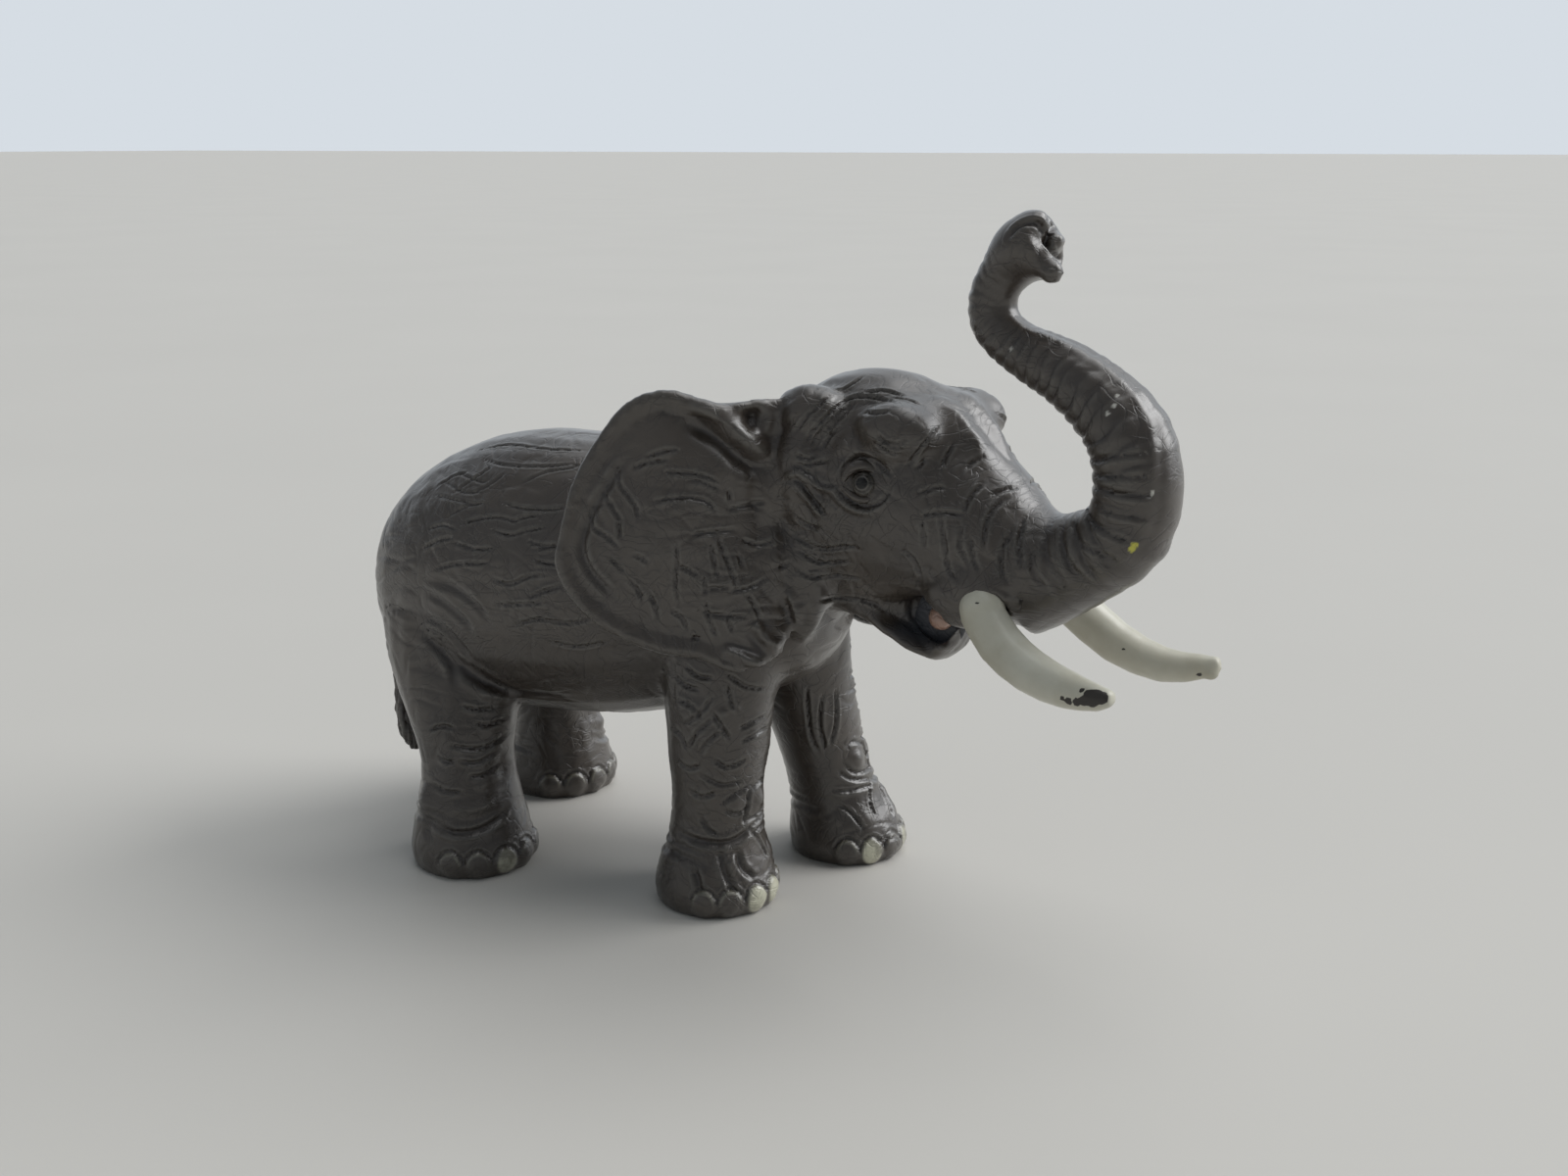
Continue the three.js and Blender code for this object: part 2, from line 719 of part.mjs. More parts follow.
// The origin is under the middle of the figure, on the ground.
const bounds = new THREE.Box3().setFromObject(figure, true);
const middle = bounds.getCenter(new THREE.Vector3());
figure.position.set(-middle.x, -middle.y, -bounds.min.z);

const elephant = new THREE.Group();
elephant.add(figure);

export default elephant;
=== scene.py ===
"""Looks of a moulded plastic toy elephant with a raised trunk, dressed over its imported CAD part.

The skin of the body, legs, head, trunk and ears is made as one clay form from the CAD pieces, sculpted,
and then divided into a piece for each CAD node. Lengths in this file are millimetres unless a name says
metres. A Path is a line of points in the photograph, which the camera casts on to the form.
"""

import json
import logging
import math
from collections.abc import Iterable
from dataclasses import dataclass, field
from enum import Enum
from itertools import product

import bmesh
import bpy
import numpy as np
from mathutils import Matrix, Vector, noise
from mathutils.bvhtree import BVHTree

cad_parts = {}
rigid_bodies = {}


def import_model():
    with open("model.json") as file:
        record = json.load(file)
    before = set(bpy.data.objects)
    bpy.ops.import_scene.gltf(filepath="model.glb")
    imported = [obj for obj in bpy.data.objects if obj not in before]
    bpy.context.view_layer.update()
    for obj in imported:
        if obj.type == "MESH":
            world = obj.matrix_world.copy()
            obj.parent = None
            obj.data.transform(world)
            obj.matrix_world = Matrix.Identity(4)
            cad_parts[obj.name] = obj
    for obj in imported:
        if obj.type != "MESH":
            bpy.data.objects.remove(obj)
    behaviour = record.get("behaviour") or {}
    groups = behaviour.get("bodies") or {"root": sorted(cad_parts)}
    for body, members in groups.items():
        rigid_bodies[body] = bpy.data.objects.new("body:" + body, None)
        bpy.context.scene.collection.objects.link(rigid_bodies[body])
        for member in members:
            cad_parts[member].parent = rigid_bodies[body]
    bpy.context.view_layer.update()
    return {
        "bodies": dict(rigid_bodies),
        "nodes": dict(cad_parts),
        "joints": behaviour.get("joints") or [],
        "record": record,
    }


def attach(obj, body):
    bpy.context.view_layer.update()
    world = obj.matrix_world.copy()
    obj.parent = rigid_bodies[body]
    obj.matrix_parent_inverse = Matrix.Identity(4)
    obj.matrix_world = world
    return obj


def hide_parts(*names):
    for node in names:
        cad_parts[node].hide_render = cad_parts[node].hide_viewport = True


MM = 0.001
SNAP = 0.24  # points nearer than this to a narrow crease move onto its line
MERGE_METRES = 1e-6
INSIDE_REACH = 90.0  # longer than any way out of the figure's inside
STRIP_END_SHARE = 0.35
STRIP_FULLNESS = 0.7
CAVITY_PASSES = 4
CREASE_SHADE_DEPTHS = (0.01, 0.14)  # how far a point lies under its surroundings, from no painted shade to full painted shade
PALE_AND_SHEEN = (0.01, 0.12)  # how far a point lies over its surroundings, from no painted highlight to a full one
log = logging.getLogger("elephant")
Pair = tuple[float, float]
Triple = tuple[float, float, float]
Path = tuple[Pair, ...]
Profile = tuple[Pair, ...]
Colour = Triple


class Form(Enum):
    """What a moulded mark is."""

    CREASE = "a valley with raised lips"
    FOLD = "a rounded ridge"
    LUMP = "a round bump"
    SWELL = "a broad soft swelling"
    DENT = "a soft hollow"


class Mask(Enum):
    """The painted areas that a point of the skin can belong to, among them painted shade in creases and a
    painted highlight on ridges.
    """

    CREASE = "crease_shade"
    PALE_AND_SHEEN = "pale_and_sheen"
    NAIL = "nail"
    JAW = "jaw"
    TONGUE = "tongue"
    PUPIL = "pupil"
    CHIP = "chip"
    FLECK = "fleck"
    STRAY = "stray"


class Hand(Enum):
    """The figure's own sides."""

    LEFT = 1
    RIGHT = -1


def srgb(red: int, green: int, blue: int) -> Colour:
    """A screen colour of 0 to 255 as a linear colour."""
    return tuple(
        c / 12.92 if c <= 0.04045 else ((c + 0.055) / 1.055) ** 2.4
        for c in (red / 255, green / 255, blue / 255)
    )


@dataclass(frozen=True)
class Axes:
    """A frame of axes in the figure, in millimetres, turned about the upright."""

    origin: Triple
    turn: float = 0.0

    def matrix(self) -> np.ndarray:
        """The axes as the columns of a matrix."""
        c, s = math.cos(math.radians(self.turn)), math.sin(math.radians(self.turn))
        return np.array([[c, -s, 0], [s, c, 0], [0, 0, 1]])

    def to_local(self, points: np.ndarray) -> np.ndarray:
        """Points of the figure, in these axes."""
        return (points - np.array(self.origin)) @ self.matrix()

    def to_figure(self, points: np.ndarray) -> np.ndarray:
        """Points of these axes, in the figure."""
        return points @ self.matrix().T + np.array(self.origin)

    def mirrored(self, points: np.ndarray) -> np.ndarray:
        """Points of the figure, moved to the other side of these axes."""
        return self.to_figure(self.to_local(points) * [1, -1, 1])


BODY_AXES = Axes((0.0, -1.766, 0.0))
HEAD_AXES = Axes((19.73, -1.766, 54.0), -12.0)


@dataclass(frozen=True)
class PhotoCamera:
    """The photograph's viewpoint, and the lines of sight through its 1600 by 1200 points."""

    location: Triple = (135.51, -266.86, 135.64)
    azimuth: float = 26.0
    elevation: float = 15.0
    focal: float = 1700.0
    frame: tuple[int, int] = (1600, 1200)

    def axes(self) -> np.ndarray:
        """The camera's right, up and backward directions, as rows.

        Returns:
            A 3 by 3 array of unit vectors.
        """
        a, e = math.radians(self.azimuth), math.radians(self.elevation)
        right = np.array([math.cos(a), math.sin(a), 0])
        back = np.array([math.sin(a) * math.cos(e), -math.cos(a) * math.cos(e), math.sin(e)])
        return np.array([right, np.cross(back, right), back])

    def sight(self, point: Pair) -> np.ndarray:
        """The unit direction in which the camera sees a point of the photograph.

        Args:
            point: the place in the picture, from its top left corner.

        Returns:
            The direction in the figure's frame.
        """
        x = point[0] - self.frame[0] / 2
        y = self.frame[1] / 2 - point[1]
        way = np.array([x, y, -self.focal]) @ self.axes()
        return way / np.linalg.norm(way)

    def build(self) -> bpy.types.Object:
        """Makes the scene's camera.

        Returns:
            The camera object, which is also set as the scene's own.
        """
        data = bpy.data.cameras.new("photo_camera")
        data.sensor_width = 36
        data.lens = self.focal / self.frame[0] * data.sensor_width
        data.clip_start = 0.01
        camera = added("photo_camera", data)
        turn = Matrix(self.axes().tolist()).transposed().to_4x4()
        camera.matrix_world = Matrix.Translation(Vector(self.location) * MM) @ turn
        bpy.context.scene.camera = camera
        return camera


@dataclass(frozen=True)
class Mark:
    """A moulded mark that follows a line drawn in the photograph's points."""

    form: Form
    path: Path
    width: float
    height: float
    both_sides: bool = True


def marks(form: Form, width: float, height: float, paths: tuple[Path, ...], both: bool = True) -> list[Mark]:
    """Several marks of one kind and size."""
    return [Mark(form, path, width, height, both) for path in paths]


def smooth_line(points: np.ndarray, step: float) -> np.ndarray:
    """Rounds a line through its points and divides it evenly.

    Args:
        points: the line's corners, one a row.
        step: the distance between the new points.

    Returns:
        The new points, one a row.
    """
    if len(points) < 2:
        return points
    ends = np.vstack([2 * points[0] - points[1], points, 2 * points[-1] - points[-2]])
    line = []
    for a, b, c, d in zip(ends[:-3], ends[1:-2], ends[2:-1], ends[3:]):
        count = max(int(np.linalg.norm(c - b) / step), 1)
        for t in np.arange(count) / count:
            square = (2 * a - 5 * b + 4 * c - d) * t * t
            cube = (3 * b - a - 3 * c + d) * t**3
            line.append(0.5 * (2 * b + (c - a) * t + square + cube))
    line.append(points[-1])
    return np.array(line)


def ease(value: np.ndarray, low: float, high: float) -> np.ndarray:
    """Rises smoothly from 0 at low to 1 at high."""
    t = np.clip((value - low) / (high - low), 0, 1)
    return t * t * (3 - 2 * t)


def fall(value: np.ndarray, low: float, high: float) -> np.ndarray:
    """Falls smoothly from 1 at low to 0 at high."""
    return 1 - ease(value, low, high)


def plateau(value: np.ndarray, ends: tuple[float, ...]) -> np.ndarray:
    """Rises smoothly to 1 between the first two ends, and falls to 0 between the last two."""
    return ease(value, *ends[:2]) * fall(value, *ends[2:])


def along_profile(profile: Profile, value: np.ndarray) -> np.ndarray:
    """The height of a profile at each value, with straight stretches between its points."""
    places, heights = zip(*profile)
    return np.interp(value, places, heights)


def nearest_on_line(points: np.ndarray, line: np.ndarray) -> tuple[np.ndarray, np.ndarray, np.ndarray]:
    """Finds how points lie beside a line.

    Args:
        points: the points, one a row.
        line: the line's corners, one a row.

    Returns:
        For each point its distance, the share of the line before its foot, and the foot itself.
    """
    distance = np.full(len(points), np.inf)
    along = np.zeros(len(points))
    foot = points.copy()
    count = max(len(line) - 1, 1)
    for k in range(count):
        a = line[k]
        span = line[min(k + 1, len(line) - 1)] - a
        share = np.clip((points - a) @ span / max(span @ span, 1e-9), 0, 1)
        away = np.linalg.norm(points - a - share[:, None] * span, axis=1)
        closer = away < distance
        distance = np.where(closer, away, distance)
        along = np.where(closer, (k + share) / count, along)
        foot = np.where(closer[:, None], a + share[:, None] * span, foot)
    return distance, along, foot


class Clay:
    """A mesh whose points are held as arrays, in millimetres, while it is sculpted."""

    smooth_steps: Pair = (0.5, -0.53)

    def __init__(self, mesh: bpy.types.Mesh) -> None:
        """Reads the mesh's points, edges and normals."""
        self.mesh = mesh
        flat = np.empty(len(mesh.vertices) * 3, np.float32)
        mesh.vertices.foreach_get("co", flat)
        self.points = flat.reshape(-1, 3).astype(float) / MM
        pairs = np.empty(len(mesh.edges) * 2, np.int32)
        mesh.edges.foreach_get("vertices", pairs)
        self.edges = pairs.reshape(-1, 2)
        self.normals = np.zeros_like(self.points)
        self.masks = {mask: np.zeros(len(self.points)) for mask in Mask}
        self.settle()

    def settle(self) -> None:
        """Writes the points to the mesh and reads its normals again."""
        self.mesh.vertices.foreach_set("co", (self.points * MM).astype(np.float32).ravel())
        self.mesh.update()
        flat = np.empty(len(self.mesh.vertices) * 3, np.float32)
        self.mesh.vertices.foreach_get("normal", flat)
        self.normals = flat.reshape(-1, 3).astype(float)

    def neighbour_mean(self, values: np.ndarray) -> np.ndarray:
        """The mean of each point's neighbours, of an array with one row a point."""
        a, b = self.edges.T
        count = len(self.points)
        share = np.bincount(a, minlength=count) + np.bincount(b, minlength=count)
        columns = []
        for column in values.T:
            total = np.bincount(a, column[b], count) + np.bincount(b, column[a], count)
            columns.append(total / np.maximum(share, 1))
        return np.array(columns).T

    def smooth(self, passes: int, keep: np.ndarray | None = None) -> None:
        """Takes out facets without shrinking the form.

        Args:
            passes: how often each point moves in and out again.
            keep: for each point, the share of the smoothing that it is spared.
        """
        share = 1.0 if keep is None else (1 - keep)[:, None]
        for _ in range(passes):
            for step in self.smooth_steps:
                self.points += share * step * (self.neighbour_mean(self.points) - self.points)
        self.settle()

    def cavity(self) -> np.ndarray:
        """How far each point lies under (above 0) or over its surroundings, in millimetres."""
        mean = self.points
        for _ in range(CAVITY_PASSES):
            mean = self.neighbour_mean(mean)
        return np.einsum("ij,ij->i", mean - self.points, self.normals)

    def sink(self, depth: np.ndarray) -> None:
        """Moves each point inwards by its depth."""
        self.points -= depth[:, None] * self.normals
        self.settle()


class Chisel:
    """Presses marks that were drawn in the photograph into a clay form.

    The shares are of a mark's own half width, and say how far it reaches and where its lips lie.
    """

    sight_step: float = 4.0  # points of the photograph
    longest_jump: float = 6.0
    reach_share: float = 3.4
    lip_place_share: float = 1.9
    lip_width_share: float = 0.8
    crease_lip_share: float = 0.35
    fold_foot_share: float = 0.3
    lump_share: float = 1.25
    swell_share: float = 1.1
    paint_edge_shares: Pair = (0.8, 1.1)
    facing: Pair = (-0.3, 0.2)
    taper: Pair = (-0.05, 0.22)
    full_shade_depth: float = 0.3

    def __init__(self, clay: Clay, tree: BVHTree, camera: PhotoCamera, axes: Axes) -> None:
        """Keeps the form, a search tree of it, the viewpoint and the axes that its sides mirror in."""
        self.clay = clay
        self.tree = tree
        self.camera = camera
        self.axes = axes
        self.push = np.zeros(len(clay.points))
        self.slide = np.zeros_like(clay.points)

    def seen(self, path: Path) -> np.ndarray:
        """The line on the form that the camera sees along a path of the photograph.

        Args:
            path: the line's points in the picture.

        Returns:
            Points on the form, one a row, which may be none.
        """
        eye = Vector(self.camera.location) * MM
        found = []
        for point in smooth_line(np.array(path, float), self.sight_step):
            hit = self.tree.ray_cast(eye, Vector(self.camera.sight(point)))[0]
            if hit is None:
                continue
            place = np.array(hit) / MM
            if not found or np.linalg.norm(found[-1] - place) < self.longest_jump:
                found.append(place)
        return np.array(found).reshape(-1, 3)

    def dropped(self, points: np.ndarray) -> np.ndarray:
        """The points of the form that are nearest to these."""
        found = [np.array(self.tree.find_nearest(Vector(point) * MM)[0]) / MM for point in points]
        return np.array(found).reshape(-1, 3)

    def profile(self, form: Form, x: np.ndarray) -> np.ndarray:
        """The height of a kind of mark, from 0 to about 1.

        Args:
            form: the kind of mark.
            x: the distance from its middle line, as a share of its half width.

        Returns:
            The height at each distance.
        """
        bell = np.exp(-x * x)
        lips = np.exp(-(((x - self.lip_place_share) / self.lip_width_share) ** 2))
        broad = np.exp(-((x / self.swell_share) ** 2))
        return {
            Form.CREASE: -bell + self.crease_lip_share * lips,
            Form.FOLD: bell - self.fold_foot_share * lips,
            Form.LUMP: np.exp(-((x / self.lump_share) ** 4)),
            Form.SWELL: broad,
            Form.DENT: -broad,
        }[form]

    def press(self, line: np.ndarray, form: Form, width: float, height: float) -> None:
        """Adds one mark to what will be pushed, and paints shade into a crease's valley.

        Args:
            line: points on the form, one a row.
            form: the kind of mark.
            width: half the width of its valley or ridge.
            height: how deep or high it is.
        """
        if len(line) == 0:
            return
        reach = width * self.reach_share
        points = self.clay.points
        inside = ((points > line.min(0) - reach) & (points < line.max(0) + reach)).all(1)
        near = np.flatnonzero(inside)
        if len(near) == 0:
            return
        place = points[near]
        normals = self.clay.normals[near]
        away, along, foot = nearest_on_line(place, line)
        middle = line[len(line) // 2]
        facing = normals[np.argmin(np.linalg.norm(place - middle, axis=1))]
        strength = ease(normals @ facing, *self.facing)
        on_line = (away < SNAP) & (strength > 0.5)
        if len(line) > 2:
            strength = strength * ease(np.minimum(along, 1 - along), *self.taper)
        x = away / width
        self.push[near] += height * self.profile(form, x) * strength
        if form is not Form.CREASE:
            return
        if width < SNAP * 2:
            offset = foot[on_line] - place[on_line]
            rise = np.einsum("ij,ij->i", offset, normals[on_line])
            self.slide[near[on_line]] = offset - rise[:, None] * normals[on_line]
        # Painted shade along the crease's valley, fuller in deeper creases.
        mask = self.clay.masks[Mask.CREASE]
        full = min(height / self.full_shade_depth, 1)
        mask[near] = np.maximum(mask[near], np.exp(-x * x) * strength * full)

    def carve(self, found: Iterable[Mark]) -> None:
        """Adds marks, on both sides of the form where they say so."""
        for mark in found:
            line = self.seen(mark.path)
            self.press(line, mark.form, mark.width, mark.height)
            if mark.both_sides and len(line):
                self.press(self.dropped(self.axes.mirrored(line)), mark.form, mark.width, mark.height)

    def paint(self, spots: Path, radius: float, mask: Mask) -> None:
        """Marks round spots of the photograph as painted."""
        inner, outer = self.paint_edge_shares
        for spot in spots:
            line = self.seen((spot,))
            if len(line):
                away = np.linalg.norm(self.clay.points - line[0], axis=1)
                values = self.clay.masks[mask]
                values[:] = np.maximum(values, fall(away, radius * inner, radius * outer))

    def finish(self) -> None:
        """Pushes the form by everything that was added."""
        self.clay.points += self.push[:, None] * self.clay.normals + self.slide
        self.push[:] = 0
        self.slide[:] = 0
        self.clay.settle()


def merged_copy(node: bpy.types.Object, grown: float = 0.0) -> bpy.types.Mesh:
    """A CAD node's mesh with its loose triangles merged.

    Args:
        node: the CAD node, which isn't changed.
        grown: how far every face is moved outwards.

    Returns:
        The new mesh.
    """
    work = bmesh.new()
    work.from_mesh(node.data)
    bmesh.ops.remove_doubles(work, verts=work.verts, dist=MERGE_METRES)
    work.normal_update()
    for vert, way in [(v, v.normal.copy()) for v in work.verts]:
        vert.co += way * grown * MM
    mesh = bpy.data.meshes.new(node.name + "_copy")
    work.to_mesh(mesh)
    work.free()
    return mesh


def applied(obj: bpy.types.Object) -> bpy.types.Mesh:
    """The object's mesh with its modifiers applied, after which the object is removed."""
    graph = bpy.context.evaluated_depsgraph_get()
    mesh = bpy.data.meshes.new_from_object(obj.evaluated_get(graph))
    bpy.data.objects.remove(obj)
    return mesh


def added(name: str, data: bpy.types.ID) -> bpy.types.Object:
    """A new object of the scene."""
    obj = bpy.data.objects.new(name, data)
    bpy.context.scene.collection.objects.link(obj)
    return obj


def remeshed(meshes: list[bpy.types.Mesh], voxel: float) -> bpy.types.Mesh:
    """One closed skin round several closed meshes.

    Args:
        meshes: the meshes, which may overlap.
        voxel: the size of the new mesh's faces.

    Returns:
        The skin, without loose islands.
    """
    work = bmesh.new()
    for mesh in meshes:
        work.from_mesh(mesh)
    joined = bpy.data.meshes.new("joined")
    work.to_mesh(joined)
    work.free()
    obj = added("clay", joined)
    remesh = obj.modifiers.new("skin", "REMESH")
    remesh.mode = "VOXEL"
    remesh.voxel_size = voxel * MM
    bpy.context.view_layer.update()
    mesh = applied(obj)
    work = bmesh.new()
    work.from_mesh(mesh)
    drop_islands(work)
    bmesh.ops.recalc_face_normals(work, faces=work.faces)
    work.to_mesh(mesh)
    work.free()
    return mesh


def drop_islands(work: bmesh.types.BMesh) -> None:
    """Deletes what isn't joined to the highest point."""
    start = max(work.verts, key=lambda v: v.co.z)
    reached = {start}
    front = [start]
    while front:
        vert = front.pop()
        for edge in vert.link_edges:
            other = edge.other_vert(vert)
            if other not in reached:
                reached.add(other)
                front.append(other)
    bmesh.ops.delete(work, geom=[v for v in work.verts if v not in reached], context="VERTS")


def drop_inside(mesh: bpy.types.Mesh, nodes: list[bpy.types.Object]) -> None:
    """Deletes the walls that lie inside the figure, which gaps between the nodes had joined to its skin.

    Args:
        mesh: the skin, which is changed.
        nodes: the CAD nodes, which close off the inside.
    """
    work = bmesh.new()
    for node in nodes:
        work.from_mesh(node.data)
    tree = BVHTree.FromBMesh(work)
    work.free()
    ways = [Vector(way).normalized() for way in product((-1, 0, 1), repeat=3) if any(way)]
    work = bmesh.new()
    work.from_mesh(mesh)
    work.normal_update()
    inside = []
    for vert in work.verts:
        start = vert.co + vert.normal * MM
        hits = (tree.ray_cast(start, way, INSIDE_REACH * MM)[0] for way in (vert.normal, *ways))
        if all(hit is not None for hit in hits):
            inside.append(vert)
    bmesh.ops.delete(work, geom=inside, context="VERTS")
    drop_islands(work)
    bmesh.ops.holes_fill(work, edges=[e for e in work.edges if e.is_boundary], sides=0)
    bmesh.ops.triangulate(work, faces=[f for f in work.faces if len(f.verts) > 4])
    bmesh.ops.recalc_face_normals(work, faces=work.faces)
    work.to_mesh(mesh)
    work.free()


def lump(centre: np.ndarray, sizes: Triple, turn: float = 0.0) -> bpy.types.Mesh:
    """A rounded lump of clay.

    Args:
        centre: its middle, in the figure.
        sizes: its half sizes along its own axes.
        turn: how far it is turned about the upright, in degrees.

    Returns:
        The new mesh.
    """
    work = bmesh.new()
    grow = Matrix.Diagonal((*(size * MM for size in sizes), 1))
    place = Matrix.Translation(Vector(centre) * MM) @ Matrix.Rotation(math.radians(turn), 4, "Z") @ grow
    bmesh.ops.create_icosphere(work, subdivisions=3, radius=1, matrix=place)
    mesh = bpy.data.meshes.new("lump")
    work.to_mesh(mesh)
    work.free()
    return mesh


def strip(line: np.ndarray, size: float) -> bpy.types.Mesh:
    """A closed round strip along a line, thin at both ends.

    Args:
        line: its middle line, one point a row.
        size: its radius in the middle.

    Returns:
        The new mesh.
    """
    data = bpy.data.curves.new("strip", "CURVE")
    data.dimensions = "3D"
    data.bevel_depth = size * MM
    data.bevel_resolution = 4
    data.use_fill_caps = True
    spline = data.splines.new("POLY")
    spline.points.add(len(line) - 1)
    for k, (point, place) in enumerate(zip(spline.points, line)):
        share = k / (len(line) - 1)
        point.co = (*(place * MM), 1)
        point.radius = STRIP_END_SHARE + (1 - STRIP_END_SHARE) * math.sin(math.pi * share) ** STRIP_FULLNESS
    return applied(added("strip", data))


def search_tree(mesh: bpy.types.Mesh, labels: tuple[int, ...]) -> BVHTree:
    """A search tree of the faces that have these labels.

    Args:
        mesh: the skin, whose labels are its material indices.
        labels: the wanted labels.

    Returns:
        The tree, in metres.
    """
    faces = [tuple(face.vertices) for face in mesh.polygons if face.material_index in labels]
    return BVHTree.FromPolygons([v.co for v in mesh.vertices], faces)


def subdivided(mesh: bpy.types.Mesh) -> bpy.types.Mesh:
    """The mesh with each face divided once and rounded."""
    obj = added("clay", mesh)
    modifier = obj.modifiers.new("fine", "SUBSURF")
    modifier.levels = 1
    modifier.render_levels = 1
    bpy.context.view_layer.update()
    return applied(obj)


def write_masks(mesh: bpy.types.Mesh, masks: dict[Mask, np.ndarray]) -> None:
    """Stores each mask as a named value of the mesh's points."""
    for mask, values in masks.items():
        if values.any():
            layer = mesh.attributes.new(mask.value, "FLOAT", "POINT")
            layer.data.foreach_set("value", np.clip(values, 0, 1).astype(np.float32))


def bent(point: np.ndarray, rate: float, depth: float, seed: float = 0.0) -> np.ndarray:
    """A point moved aside by soft noise, so that lines wander."""
    return point + np.array(noise.noise_vector(Vector(point * rate + seed)) * depth)


def crackle(points: np.ndarray, size: float, stretch: Triple, line_share: float = 0.26) -> np.ndarray:
    """A net of thin lines between cells, as in dry skin.

    Args:
        points: where to read it, one a row.
        size: the width of a cell.
        stretch: how much longer the cells are along each axis.
        line_share: how wide a line is, as a share of a cell.

    Returns:
        For each point 1 on a line, falling to 0 inside a cell.
    """
    scale = 1 / (size * np.array(stretch))
    values = np.empty(len(points))
    for k, point in enumerate(points):
        near = noise.voronoi(Vector(bent(point, 0.16, 1.6) * scale))[0]
        values[k] = near[1] - near[0]
    return fall(values, 0.0, line_share)


def wrinkles(
    points: np.ndarray, cell: Triple, turn: float, seed: float, width: float
) -> np.ndarray:
    """Long wandering lines, as in thick skin.

    Args:
        points: where to read them, one a row.
        cell: the size of the clouds whose edges they follow, forwards, sideways and up.
        turn: how far the lines are tilted about the sideways axis, in degrees.
        seed: a shift that gives another set of lines.
        width: how wide a line is, as a share of a cell.

    Returns:
        For each point 1 on a line, falling to 0 beside it.
    """
    c, s = math.cos(math.radians(turn)), math.sin(math.radians(turn))
    tilted = points @ np.array([[c, 0, -s], [0, 1, 0], [s, 0, c]])
    values = np.empty(len(points))
    for k, point in enumerate(tilted):
        values[k] = noise.noise(Vector(bent(point, 0.11, 2.2, seed) / cell + seed))
    return np.exp(-((values / width) ** 2))


def cloudy(points: np.ndarray, size: float, seed: float) -> np.ndarray:
    """Soft random clouds of about the given size, from -1 to 1."""
    shift = Vector((seed, seed * 0.7, -seed))
    return np.array([noise.noise(Vector(p / size) + shift) for p in points])


BACK_CREASES: tuple[Path, ...] = (
    ((493, 469), (519, 475), (559, 476), (590, 474)),
    ((490, 459), (519, 454), (559, 458), (598, 460)),
    ((529, 494), (557, 482), (585, 477), (595, 473)),
    ((445, 497), (460, 487), (478, 481)),
    ((452, 490), (473, 502), (493, 502)),
    ((468, 482), (485, 490), (498, 492)),
    ((460, 505), (478, 492), (493, 482), (503, 474)),
    ((483, 502), (498, 495), (516, 482)),
    ((442, 505), (460, 509), (483, 514), (498, 513)),
    ((455, 528), (473, 518), (493, 513)),
)
FLANK_CREASES: tuple[Path, ...] = (
    ((511, 513), (534, 519), (559, 520), (580, 518)),
    ((519, 533), (534, 528), (552, 525)),
    ((536, 550), (549, 556), (570, 556)),
    ((544, 561), (557, 559), (573, 556)),
    ((462, 553), (483, 560), (503, 560)),
    ((544, 571), (557, 575), (575, 576)),
    ((442, 582), (460, 576), (478, 575), (498, 575)),
    ((539, 610), (554, 604), (575, 597)),
    ((503, 617), (524, 617), (557, 615)),
    ((500, 540), (520, 546), (538, 541), (560, 538)),
    ((470, 536), (486, 530), (510, 528), (530, 534)),
    ((430, 560), (446, 552), (462, 548)),
    ((436, 540), (452, 536), (466, 542)),
    ((500, 590), (520, 596), (540, 588), (560, 586)),
    ((520, 640), (548, 632), (580, 636), (610, 630)),
    ((560, 655), (590, 660), (620, 655)),
)
HIP_FOLDS: tuple[Path, ...] = (
    ((434, 604), (455, 617), (473, 633), (483, 648)),
    ((427, 625), (450, 638), (468, 656), (483, 676)),
    ((430, 646), (446, 660), (460, 680), (466, 700)),
    ((441, 592), (463, 600), (486, 618), (500, 636)),
)
THIGH_LINE: tuple[Path, ...] = (((447, 656), (468, 678), (493, 694), (519, 704), (544, 709), (585, 712)),)
FORE_CREASES: tuple[Path, ...] = (
    ((727, 727), (736, 742), (746, 756)),
    ((754, 745), (766, 738), (783, 730)),
    ((755, 758), (769, 750), (784, 742)),
    ((698, 740), (714, 728), (728, 710)),
    ((702, 764), (713, 746), (728, 733)),
    ((714, 770), (722, 757), (736, 746)),
    ((692, 714), (706, 720), (716, 734)),
    ((684, 742), (694, 750), (701, 766)),
    ((736, 821), (748, 812), (770, 800)),
    ((738, 826), (752, 830), (766, 819)),
    ((714, 832), (722, 845), (732, 852)),
    ((742, 698), (746, 716), (754, 728)),
    ((688, 690), (700, 700), (714, 704)),
    ((698, 678), (712, 690), (728, 692)),
    ((743, 688), (760, 700), (782, 703)),
    ((728, 775), (742, 783), (762, 775)),
    ((712, 789), (736, 801), (760, 796)),
    ((702, 806), (716, 813), (732, 809)),
    ((692, 776), (702, 784), (716, 781)),
    ((765, 846), (775, 858), (783, 876)),
)
FORE_BUMPS: tuple[tuple[Pair, float, float], ...] = (
    ((738, 729), 0.9, 0.45),
    ((750, 723), 0.8, 0.4),
    ((752, 822), 1.6, 0.5),
    ((700, 725), 2.2, 0.6),
    ((716, 752), 1.6, 0.4),
    ((768, 750), 1.4, 0.4),
    ((744, 882), 1.3, 0.4),
)
FORE_TOES: tuple[Path, ...] = (
    ((734, 866), (738, 885), (749, 912)),
    ((752, 868), (757, 885), (770, 896)),
    ((708, 885), (712, 900), (715, 914)),
)
FORE_ANKLE: tuple[Path, ...] = (((692, 848), (712, 858), (736, 861), (755, 855), (770, 841)),)
